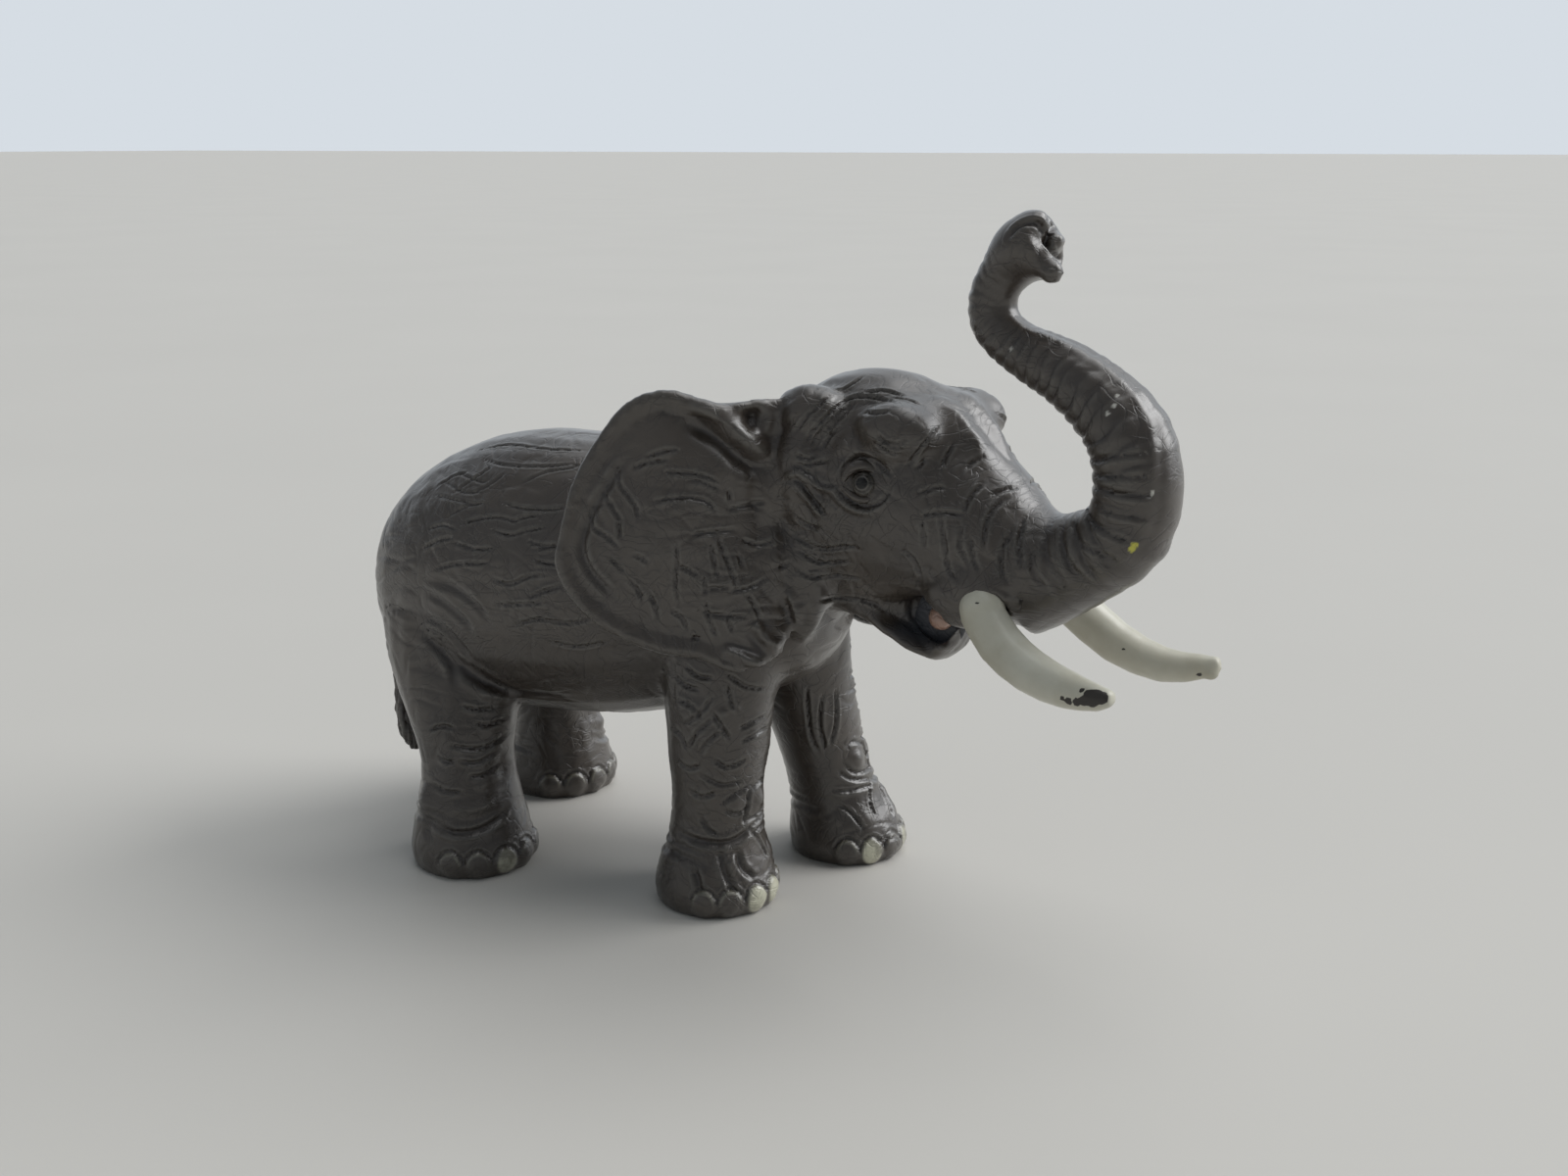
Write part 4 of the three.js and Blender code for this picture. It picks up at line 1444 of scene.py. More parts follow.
EAR_MARKS = (
    *marks(Form.CREASE, 0.34, 0.4, EAR_CREASES),
    *marks(Form.FOLD, 0.9, 0.8, EAR_LOBE_RIDGES),
    Mark(Form.CREASE, EAR_RIM_VALLEY, 0.8, 0.5),
    Mark(Form.SWELL, EAR_SWELLING, 5.5, 0.7),
    Mark(Form.FOLD, EAR_ROLL, 1.5, 1.2),
    Mark(Form.DENT, EAR_ROLL_SHADOW, 1.7, 1.5),
    Mark(Form.DENT, ((771, 426),), 1.6, 2.0),
    Mark(Form.LUMP, ((789, 651),), 1.7, 0.7),
)
EAR_RIM_SHARES: Profile = (
    (0.13, 0.975), (0.32, 0.975), (0.53, 1.015), (0.69, 0.965), (0.82, 0.835), (0.93, 0.675),
    (0.993, 0.45), (1, 0.362), (0.93, 0.25), (0.79, 0.149), (0.567, 0.077), (0.363, 0.056),
    (0.218, 0.02), (0.09, 0.06),
)


@dataclass(frozen=True)
class EarFrame:
    """Where one ear hangs: its own frame has the rear towards -X and its outer side towards +Y."""

    hand: Hand
    flare: float
    droop: float
    hinge_height: float
    hinge: Pair = (-0.57, 16.12)
    pivot: float = 35.52
    size: Pair = (41.5, 48)
    inset: float = 1.5
    roll: float = 1.55
    rim_step: float = 1.0
    rim_lift: float = 0.35
    lobe_out: float = 5.0
    front_in: float = 3.5
    front_length: float = 14.0
    middle_shares: Pair = (0.48, 0.55)

    def matrix(self) -> np.ndarray:
        """The ear's own frame, in the figure, in millimetres."""
        head = Matrix.Translation(Vector(HEAD_AXES.origin))
        head = head @ Matrix.Rotation(math.radians(HEAD_AXES.turn), 4, "Z")
        side = self.hand.value
        place = Matrix.Translation(Vector((self.hinge[0], side * self.hinge[1], self.hinge_height)))
        turned = Matrix.Rotation(math.radians(-side * self.flare), 4, "Z")
        hung = Matrix.Rotation(math.radians(-self.droop), 4, "Y")
        return np.array(head @ place @ turned @ hung @ Matrix.Translation(Vector((0, 0, -self.pivot))))

    def rim(self) -> list[bpy.types.Mesh]:
        """The rolled rim, as a row of lumps along the ear's free edge.

        Returns:
            The lumps, in the figure.
        """
        flat = smooth_line(np.array(EAR_RIM_SHARES) * self.size, self.rim_step)
        front = np.maximum(1 - flat[:, 0] / self.front_length, 0)
        rise = flat[:, 1] / self.size[1]
        out = self.lobe_out * (1 - rise) ** 2 - self.front_in * front * front * (1 + rise)
        inward = np.array(self.middle_shares) * self.size - flat
        inward /= np.linalg.norm(inward, axis=1)[:, None]
        moved = flat + inward * self.inset
        points = np.stack([-moved[:, 0], out + self.rim_lift, moved[:, 1]], axis=1)
        return [lump(point, (self.roll,) * 3) for point in self.placed(points)]

    def own(self, line: np.ndarray) -> np.ndarray:
        """Points of the figure in the ear's own frame."""
        back = np.linalg.inv(self.matrix())
        return (line @ back[:3, :3].T + back[:3, 3]) * [1, self.hand.value, 1]

    def placed(self, line: np.ndarray) -> np.ndarray:
        """Points of the ear's own frame, in the figure."""
        frame = self.matrix()
        return (line * [1, self.hand.value, 1]) @ frame[:3, :3].T + frame[:3, 3]


@dataclass
class EarPair:
    """Both ears, which carry the same marks: those that the photograph shows on the right one."""

    right: EarFrame = EarFrame(Hand.RIGHT, 29, 0, 28.12)
    left: EarFrame = EarFrame(Hand.LEFT, 16, 14, 25.83)

    def names(self) -> tuple[str, str]:
        """The ears' CAD nodes."""
        return ("left_ear", "right_ear")

    def sculpt(self, right: Chisel, left: Chisel) -> None:
        """Presses the marks into both ears.

        Args:
            right: the chisel on the right ear.
            left: the chisel on the left ear.
        """
        for mark in EAR_MARKS:
            line = right.seen(mark.path)
            if len(line):
                right.press(line, mark.form, mark.width, mark.height)
                other = left.dropped(self.left.placed(self.right.own(line)))
                left.press(other, mark.form, mark.width, mark.height)
        right.finish()
        left.finish()


def layer_of(work: bmesh.types.BMesh, mask: Mask) -> bmesh.types.BMLayerItem:
    """The points' layer of a mask, which is made where there is none."""
    layers = work.verts.layers.float
    return layers.get(mask.value) or layers.new(mask.value)


def smooth_normals(faces: list[bmesh.types.BMFace]) -> list[Vector]:
    """Makes faces smooth and gives their corners' normals, in order."""
    for face in faces:
        face.smooth = True
    return [corner.vert.normal.copy() for face in faces for corner in face.loops]


def add_bump(work: bmesh.types.BMesh, place: Triple, sizes: Triple, mask: Mask) -> list[Vector]:
    """Adds a rounded bump to the inside of the mouth.

    Args:
        work: the head's piece.
        place: the bump's centre along the head's axes.
        sizes: its half sizes.
        mask: the mask that is 1 on it.

    Returns:
        The new corners' normals, in the order of the faces.
    """
    painted = layer_of(work, mask)
    middle = Matrix.Translation(Vector(HEAD_AXES.to_figure(np.array(place))) * MM)
    turn = Matrix.Rotation(math.radians(HEAD_AXES.turn), 4, "Z")
    size = Matrix.Diagonal([*(extent * MM for extent in sizes), 1.0])
    matrix = middle @ turn @ size
    ball = bmesh.ops.create_icosphere(work, subdivisions=4, radius=1.0, matrix=matrix)["verts"]
    for vert in ball:
        vert[painted] = 1.0
    work.normal_update()
    work.faces.index_update()
    faces = {face for vert in ball for face in vert.link_faces}
    return smooth_normals(sorted(faces, key=lambda face: face.index))


def add_eyeball(work: bmesh.types.BMesh, eye: Eye) -> list[Vector]:
    """Adds one eyeball with a moulded iris and its lids to a piece.

    Args:
        work: the piece, which gets the faces.
        eye: the eye.

    Returns:
        The new corners' normals, in the order of the faces.
    """
    radius = eye.radius
    turn = Vector(eye.look).to_track_quat("Z", "Y").to_matrix().to_4x4()
    place = Matrix.Translation(Vector(eye.centre) * MM) @ turn
    before = len(work.faces)
    pupil = layer_of(work, Mask.PUPIL)
    pale_and_sheen = layer_of(work, Mask.PALE_AND_SHEEN)
    ball = bmesh.ops.create_uvsphere(work, u_segments=40, v_segments=48, radius=radius * MM)["verts"]
    for vert in ball:
        off = vert.co.xy.length / MM if vert.co.z > 0 else radius
        ring = math.exp(-(((off - eye.ring_radius) / eye.ring_width) ** 2))
        vert.co -= vert.co.normalized() * ring * eye.ring_depth * MM
        vert[pupil] = 1.0 if off < eye.pupil_radius else eye.ring_paint * ring
        # The whole eyeball takes the mask of the ridges' painted highlight, which makes it paler.
        vert[pale_and_sheen] = 1.0
    bmesh.ops.transform(work, matrix=place, verts=ball)
    for mesh in eye.lid_meshes():
        work.from_mesh(mesh)
    work.normal_update()
    work.faces.index_update()
    work.faces.ensure_lookup_table()
    return smooth_normals(work.faces[before:])


class SkinNode(Enum):
    """The CAD nodes that the one skin covers, in the order of their labels."""

    BODY_LEFT = "body_left_shell"
    BODY_RIGHT = "body_right_shell"
    FRONT_LEFT = "front_left_leg"
    FRONT_RIGHT = "front_right_leg"
    REAR_LEFT = "rear_left_leg"
    REAR_RIGHT = "rear_right_leg"
    HEAD = "head"
    TRUNK = "trunk"
    LEFT_EAR = "left_ear"
    RIGHT_EAR = "right_ear"

    @property
    def label(self) -> int:
        """The node's place in the order, which marks its faces."""
        return list(SkinNode).index(self)


@dataclass
class Skin:
    """The one sculpted skin, which is divided into a piece for each CAD node."""

    frame: dict
    camera: PhotoCamera
    voxel: float = 0.72
    grown: float = 0.35
    shrink_share: float = 0.8
    smooth_passes: int = 60
    wrinkle_depth: float = 0.17
    wrinkle_width: float = 0.13
    wrinkle_patch: float = 13.0
    wrinkle_patch_range: Pair = (-0.15, 0.3)
    trunk_wrinkle_share: float = 0.3
    wrinkle_sets: tuple[tuple[Triple, float, float, float], ...] = (
        ((11.0, 9.0, 3.4), 6.0, 3.1, 1.0),
        ((9.0, 9.0, 3.6), -48.0, 17.3, 0.8),
        ((9.0, 9.0, 4.0), 58.0, 41.7, 0.7),
    )

    def build(self) -> list[bpy.types.Object]:
        """Makes, sculpts and divides the skin.

        Returns:
            The pieces, in the order of SkinNode.
        """
        nodes = [self.frame["nodes"][n.value] for n in SkinNode]
        head, trunk, ears = Head(), Trunk(), EarPair()
        meshes = [merged_copy(node, 0.0 if node.name in ears.names() else self.grown) for node in nodes]
        meshes += trunk.lobes()
        coarse = remeshed(meshes + head.lumps() + ears.right.rim() + ears.left.rim(), self.voxel)
        drop_inside(coarse, nodes)
        clay = Clay(coarse)
        self.label(coarse, nodes)
        grown = self.point_labels(coarse) < SkinNode.LEFT_EAR.label
        clay.points -= clay.normals * self.grown * self.shrink_share * grown[:, None]
        clay.smooth(self.smooth_passes)
        head.open_mouth(clay)
        head.soften(clay, grown)
        write_masks(coarse, clay.masks)
        fine = subdivided(coarse)
        clay = Clay(fine)
        fine.attributes[Mask.JAW.value].data.foreach_get("value", clay.masks[Mask.JAW])
        labels = self.point_labels(fine)
        log.info("the skin has %d points", len(labels))
        body = self.chisel(clay, coarse, BODY_AXES, list(SkinNode)[:6])
        Torso().sculpt(body)
        for found in LEG_MARKS:
            found.sculpt(body)
        for leg in self.legs():
            leg.sculpt(body)
        body.finish()
        face = self.chisel(clay, coarse, HEAD_AXES, [SkinNode.HEAD, SkinNode.TRUNK])
        eyes = head.eyes(face)
        head.sculpt(face)
        trunk.sculpt(face, labels == SkinNode.TRUNK.label)
        face.finish()
        right = self.chisel(clay, coarse, HEAD_AXES, [SkinNode.RIGHT_EAR])
        left = self.chisel(clay, coarse, HEAD_AXES, [SkinNode.LEFT_EAR])
        ears.sculpt(right, left)
        self.weather(clay, labels)
        clay.points[:, 2] = np.maximum(clay.points[:, 2], 0)
        clay.settle()
        return self.divide(fine, clay, eyes, head)

    def chisel(self, clay: Clay, coarse: bpy.types.Mesh, axes: Axes, nodes: list[SkinNode]) -> Chisel:
        """A chisel that marks only the part of the skin that belongs to some nodes.

        Args:
            clay: the fine skin.
            coarse: the coarse skin, with its labels.
            axes: the axes that the part's two sides mirror in.
            nodes: the nodes that the marks lie on.

        Returns:
            The chisel.
        """
        wanted = tuple(node.label for node in nodes)
        return Chisel(clay, search_tree(coarse, wanted), self.camera, axes)

    def legs(self) -> list[Leg]:
        """The four legs, with the way each foot points."""
        return [
            Leg((11.6, 15.7), 0, (1, 3)),
            Leg((-1.0, -15.8), -8),
            Leg((-59.4, 20.2), 0, ()),
            Leg((-51.9, -21.3), -10, (2,)),
        ]

    def label(self, mesh: bpy.types.Mesh, nodes: list[bpy.types.Object]) -> None:
        """Gives each face the number of the CAD node that it is nearest to, as its material index.

        Args:
            mesh: the skin.
            nodes: the CAD nodes.
        """
        work = bmesh.new()
        owner = []
        for k, node in enumerate(nodes):
            work.from_mesh(node.data)
            owner += [k] * (len(work.faces) - len(owner))
        work.faces.ensure_lookup_table()
        tree = BVHTree.FromBMesh(work)
        work.free()
        for _ in nodes:
            mesh.materials.append(None)
        found = [owner[tree.find_nearest(face.center)[2]] for face in mesh.polygons]
        mesh.polygons.foreach_set("material_index", np.array(found, np.int32))

    def point_labels(self, mesh: bpy.types.Mesh) -> np.ndarray:
        """The label of each point, which is one of its faces' labels."""
        index = np.empty(len(mesh.polygons), np.int32)
        mesh.polygons.foreach_get("material_index", index)
        total = np.empty(len(mesh.polygons), np.int32)
        mesh.polygons.foreach_get("loop_total", total)
        corner = np.empty(len(mesh.loops), np.int32)
        mesh.loops.foreach_get("vertex_index", corner)
        labels = np.zeros(len(mesh.vertices), np.int32)
        labels[corner] = np.repeat(index, total)
        return labels

    def weather(self, clay: Clay, labels: np.ndarray) -> None:
        """Adds the net of fine wrinkles, faint on the trunk, and paints shade into hollow places and a pale
        highlight on raised ones.

        Args:
            clay: the sculpted skin.
            labels: the node that each point belongs to.
        """
        points = clay.points
        depth = np.zeros(len(points))
        for cell, turn, seed, share in self.wrinkle_sets:
            patch = ease(cloudy(points, self.wrinkle_patch, seed), *self.wrinkle_patch_range)
            lines = wrinkles(points, cell, turn, seed, self.wrinkle_width)
            depth = np.maximum(depth, share * patch * lines)
        outside = 1 - clay.masks[Mask.JAW]
        strength = np.where(labels == SkinNode.TRUNK.label, self.trunk_wrinkle_share, 1.0)
        clay.sink(self.wrinkle_depth * depth * strength * outside)
        # Painted shade in hollows and a painted highlight on raised places, read from the skin's own relief.
        hollow = clay.cavity()
        crease_shade = clay.masks[Mask.CREASE]
        crease_shade[:] = np.maximum(crease_shade, ease(hollow, *CREASE_SHADE_DEPTHS)) * outside
        clay.masks[Mask.PALE_AND_SHEEN][:] = ease(-hollow, *PALE_AND_SHEEN)

    def divide(
        self, mesh: bpy.types.Mesh, clay: Clay, eyes: list[Eye], head: Head
    ) -> list[bpy.types.Object]:
        """Cuts the skin into its pieces and closes each one inside.

        Args:
            mesh: the whole skin, with its labels.
            clay: the same skin as arrays, which has its smooth normals and masks.
            eyes: both eyes, which join the head.
            head: the head, which says where the tongue is.

        Returns:
            One object for each CAD node.
        """
        corners = np.empty(len(mesh.loops), np.int32)
        mesh.loops.foreach_get("vertex_index", corners)
        labels = np.empty(len(mesh.polygons), np.int32)
        mesh.polygons.foreach_get("material_index", labels)
        faces = corners.reshape(-1, 4)
        pieces = []
        for k, node in enumerate(SkinNode):
            used, compact = np.unique(faces[labels == k], return_inverse=True)
            piece = bpy.data.meshes.new(node.value + "_skin")
            piece.from_pydata(clay.points[used] * MM, [], compact.reshape(-1, 4).tolist())
            write_masks(piece, {mask: values[used] for mask, values in clay.masks.items()})
            work = bmesh.new()
            work.from_mesh(piece)
            outside = len(work.faces)
            rim = [e for e in work.edges if e.is_boundary]
            caps = bmesh.ops.holes_fill(work, edges=rim, sides=0)["faces"]
            bmesh.ops.triangulate(work, faces=caps)
            own = clay.normals[used]
            normals = []
            for face in work.faces:
                face.smooth = True
                for corner in face.loops:
                    normals.append(own[corner.vert.index] if face.index < outside else face.normal)
            if node is SkinNode.HEAD:
                for eye in eyes:
                    normals += add_eyeball(work, eye)
                for place, sizes, mask in head.tongue_bumps:
                    normals += add_bump(work, place, sizes, mask)
            work.to_mesh(piece)
            work.free()
            piece.normals_split_custom_set([tuple(n) for n in normals])
            pieces.append(added("skin_" + node.value, piece))
        return pieces


NEAR_CHIPS = (
    ((1084, 713), 0.4), ((1090, 716), 0.7), ((1098, 717), 0.75), ((1105, 716), 0.9), ((1111, 709), 0.95),
    ((1118, 711), 1.35), ((1124, 712), 1.1), ((1114, 717), 0.9), ((997, 615), 0.22), ((1104, 704), 0.45),
)
FAR_CHIPS = (((1236, 697), 0.7), ((1229, 700), 0.4), ((1224, 689), 0.35), ((1147, 662), 0.2))


@dataclass
class Tusk:
    """One painted tusk, with a lip where it leaves its socket and chips at the tip."""

    node: str
    hand: Hand
    tip: Triple
    chips: tuple[tuple[Pair, float], ...] = ()
    voxel: float = 0.4
    base: Triple = (33.9, 11.0, 8.7)
    base_radius: float = 3.75
    tip_radius: float = 1.5
    smooth_passes: int = 50
    cloud_size: float = 3.5
    cloud_height: float = 0.05
    chip_depth: float = 0.09

    def build(self, frame: dict, camera: PhotoCamera) -> bpy.types.Object:
        """Makes the tusk.

        Args:
            camera: the photograph's viewpoint.

        Returns:
            The finished tusk.
        """
        u, side, height = self.base
        base = HEAD_AXES.to_figure(np.array([u, side * self.hand.value, height]))
        root = lump(base, (self.base_radius,) * 3)
        end = lump(np.array(self.tip), (self.tip_radius,) * 3)
        clay = Clay(remeshed([merged_copy(frame["nodes"][self.node]), root, end], self.voxel))
        clay.smooth(self.smooth_passes)
        clay.sink(-self.cloud_height * cloudy(clay.points, self.cloud_size, 2.0))
        faces = [tuple(face.vertices) for face in clay.mesh.polygons]
        whole = BVHTree.FromPolygons([v.co for v in clay.mesh.vertices], faces)
        chisel = Chisel(clay, whole, camera, HEAD_AXES)
        for spot, size in self.chips:
            chisel.paint((spot,), size, Mask.CHIP)
        clay.sink(self.chip_depth * clay.masks[Mask.CHIP])
        write_masks(clay.mesh, clay.masks)
        clay.mesh.shade_smooth()
        return added(self.node + "_paint", clay.mesh)


@dataclass
class Tail:
    """The tail, with the strands of its tuft."""

    node: str = "tail"
    voxel: float = 0.35
    tuft_top: float = 27.0
    tuft_blend: Pair = (-5.0, 4.0)
    smooth_passes: int = 50
    strand_size: float = 1.5
    strand_stretch: Triple = (1.0, 1.0, 6.0)
    strand_depth: float = 0.4
    ring_size: float = 2.2
    ring_stretch: Triple = (3.0, 3.0, 0.8)
    ring_depth: float = 0.15

    def build(self, frame: dict) -> bpy.types.Object:
        """Makes the tail.


        Returns:
            The finished tail.
        """
        clay = Clay(remeshed([merged_copy(frame["nodes"][self.node])], self.voxel))
        clay.smooth(self.smooth_passes)
        below, above = self.tuft_blend
        tuft = fall(clay.points[:, 2], self.tuft_top + below, self.tuft_top + above)
        strands = crackle(clay.points + 3, self.strand_size, self.strand_stretch)
        rings = crackle(clay.points + 9, self.ring_size, self.ring_stretch)
        clay.sink(strands * tuft * self.strand_depth + rings * (1 - tuft) * self.ring_depth)
        # Painted shade in the tail's hollows and a painted highlight on its raised places.
        hollow = clay.cavity()
        clay.masks[Mask.CREASE][:] = ease(hollow, *CREASE_SHADE_DEPTHS)
        clay.masks[Mask.PALE_AND_SHEEN][:] = ease(-hollow, *PALE_AND_SHEEN)
        write_masks(clay.mesh, clay.masks)
        clay.mesh.shade_smooth()
        return added("tail_tuft", clay.mesh)


class Nodes:
    """Short ways to lay out a material's or a group's nodes."""

    def __init__(self, tree: bpy.types.NodeTree) -> None:
        """Keeps the node tree."""
        self.tree = tree

    def add(self, kind: str, **values: object) -> bpy.types.Node:
        """A new node.

        Args:
            kind: its type name, without ShaderNode.
            values: properties of the node, or values of its inputs, by name.

        Returns:
            The node.
        """
        node = self.tree.nodes.new(kind if kind.startswith("NodeGroup") else "ShaderNode" + kind)
        for name, value in values.items():
            if hasattr(node, name):
                setattr(node, name, value)
            else:
                node.inputs[name.replace("_", " ")].default_value = value
        return node

    def link(self, source: bpy.types.NodeSocket, target: bpy.types.NodeSocket) -> None:
        """Joins two sockets."""
        self.tree.links.new(source, target)

    def attribute(self, mask: Mask) -> bpy.types.NodeSocket:
        """A mask of the mesh's points."""
        return self.add("Attribute", attribute_name=mask.value).outputs["Fac"]

    def mix(self, share: object, first: object, second: object) -> bpy.types.NodeSocket:
        """A colour between two others.

        Args:
            share: a socket or number, 0 for the first colour.
            first: a socket or colour.
            second: a socket or colour.

        Returns:
            The socket of the mixed colour.
        """
        node = self.tree.nodes.new("ShaderNodeMix")
        node.data_type = "RGBA"
        sockets = (node.inputs["Factor"], node.inputs[6], node.inputs[7])  # the last two take colours
        for socket, value in zip(sockets, (share, first, second)):
            if isinstance(value, bpy.types.NodeSocket):
                self.link(value, socket)
            elif isinstance(value, tuple):
                socket.default_value = (*value, 1)
            else:
                socket.default_value = value
        return node.outputs[2]

    def sum(self, operation: str, *values: object) -> bpy.types.NodeSocket:
        """The result of a Math node on sockets or numbers."""
        node = self.tree.nodes.new("ShaderNodeMath")
        node.operation = operation
        for socket, value in zip(node.inputs, values):
            if isinstance(value, bpy.types.NodeSocket):
                self.link(value, socket)
            else:
                socket.default_value = value
        return node.outputs[0]

    def group(
        self, tree: bpy.types.NodeTree, place: bpy.types.NodeSocket, **values: float
    ) -> bpy.types.Node:
        """A node of a shared group, which reads a place.

        Args:
            tree: the group.
            place: the socket of the place.
            values: the group's other inputs, by name.

        Returns:
            The node.
        """
        node = self.tree.nodes.new("ShaderNodeGroup")
        node.node_tree = tree
        self.link(place, node.inputs["Place"])
        for name, value in values.items():
            node.inputs[name].default_value = value
        return node

    def between(
        self, value: bpy.types.NodeSocket, low: float, high: float, to: float, up_to: float
    ) -> bpy.types.NodeSocket:
        """A value that runs from one range to another, and stays in it.

        Args:
            value: the socket that is read.
            low: where the first range starts.
            high: where it ends.
            to: the result at its start.
            up_to: the result at its end.

        Returns:
            The socket of the result.
        """
        node = self.add("MapRange", From_Min=low, From_Max=high, To_Min=to, To_Max=up_to)
        self.link(value, node.inputs["Value"])
        return node.outputs[0]


def effect_group(
    name: str, inputs: dict[str, float], outputs: dict[str, str]
) -> tuple[Nodes, bpy.types.Node, bpy.types.Node]:
    """An empty shader node group with its sockets.

    Args:
        name: the group's name.
        inputs: each input's name and default number.
        outputs: each output's name and socket type.

    Returns:
        The layout tool, the group's input node and its output node.
    """
    tree = bpy.data.node_groups.new(name, "ShaderNodeTree")
    tree.interface.new_socket("Place", in_out="INPUT", socket_type="NodeSocketVector")
    for label, value in inputs.items():
        tree.interface.new_socket(label, in_out="INPUT", socket_type="NodeSocketFloat").default_value = value
    for label, kind in outputs.items():
        tree.interface.new_socket(label, in_out="OUTPUT", socket_type=kind)
    return Nodes(tree), tree.nodes.new("NodeGroupInput"), tree.nodes.new("NodeGroupOutput")


GRAIN_LINES = ((6, (6.5, 6.5, 1.9), 0.0), (-47, (5.5, 5.5, 1.8), 0.31), (55, (6.0, 6.0, 2.2), 0.77))


def grain_group() -> bpy.types.NodeTree:
    """The fine grain of moulded plastic hide: a bump height, a colour clouding and thin wrinkle lines, which
    the hide darkens as painted shade.

    Returns:
        The node group.
    """
    nodes, start, end = effect_group(
        "moulded_grain",
        {"Wrinkle": 1.0},
        {"Height": "NodeSocketFloat", "Clouds": "NodeSocketFloat", "Lines": "NodeSocketFloat"},
    )
    place = start.outputs["Place"]
    pores = nodes.add("TexNoise", Scale=1900.0, Detail=3.0, Roughness=0.6)
    clouds = nodes.add("TexNoise", Scale=70.0, Detail=5.0, Roughness=0.6)
    warp = nodes.add("TexNoise", Scale=170.0, Detail=2.0)
    for node in (pores, warp, clouds):
        nodes.link(place, node.inputs["Vector"])
    warped = nodes.add("VectorMath", operation="MULTIPLY_ADD")
    nodes.link(warp.outputs["Color"], warped.inputs[0])
    warped.inputs[1].default_value = (0.0032, 0.0032, 0.0032)
    nodes.link(place, warped.inputs[2])
    lines = 0.0
    for tilt, cell, offset in GRAIN_LINES:
        turned = nodes.add("Mapping", vector_type="TEXTURE")
        turned.inputs["Rotation"].default_value = (0, math.radians(tilt), 0)
        turned.inputs["Scale"].default_value = tuple(size * MM for size in cell)
        turned.inputs["Location"].default_value = (offset, offset, offset)
        nodes.link(warped.outputs[0], turned.inputs["Vector"])
        wave = nodes.add("TexNoise", Scale=1.0, Detail=1.0, Roughness=0.4)
        nodes.link(turned.outputs[0], wave.inputs["Vector"])
        off = nodes.sum("ABSOLUTE", nodes.sum("SUBTRACT", wave.outputs["Fac"], 0.5))
        line = nodes.between(off, 0.0, 0.035, 1.0, 0.0)
        patch = nodes.add("TexNoise", Scale=95.0, Detail=2.0)
        moved = nodes.add("VectorMath", operation="ADD")
        moved.inputs[1].default_value = (offset, offset, offset)
        nodes.link(place, moved.inputs[0])
        nodes.link(moved.outputs[0], patch.inputs["Vector"])
        line = nodes.sum("MULTIPLY", line, nodes.between(patch.outputs["Fac"], 0.42, 0.56, 0.0, 1.0))
        lines = nodes.sum("MAXIMUM", lines, line)
    lines = nodes.sum("MULTIPLY", lines, start.outputs["Wrinkle"])
    height = nodes.sum("SUBTRACT", nodes.sum("MULTIPLY", pores.outputs["Fac"], 0.3), lines)
    nodes.link(height, end.inputs["Height"])
    nodes.link(lines, end.inputs["Lines"])
    nodes.link(clouds.outputs["Fac"], end.inputs["Clouds"])
    return nodes.tree


def speck_group() -> bpy.types.NodeTree:
    """Rare tiny specks of stray paint.

    Returns:
        The node group, whose output is 1 on a speck.
    """
    nodes, start, end = effect_group(
        "stray_specks", {"Scale": 90.0, "Share": 0.93}, {"Speck": "NodeSocketFloat"}
    )
    cells = nodes.add("TexVoronoi", feature="F1")
    nodes.link(start.outputs["Place"], cells.inputs["Vector"])
    nodes.link(start.outputs["Scale"], cells.inputs["Scale"])
    close = nodes.between(cells.outputs["Distance"], 0.035, 0.05, 1.0, 0.0)
    chance = nodes.add("SeparateColor")
    nodes.link(cells.outputs["Color"], chance.inputs[0])
    rare = nodes.sum("GREATER_THAN", chance.outputs[0], start.outputs["Share"])
    nodes.link(nodes.sum("MULTIPLY", close, rare), end.inputs["Speck"])
    return nodes.tree


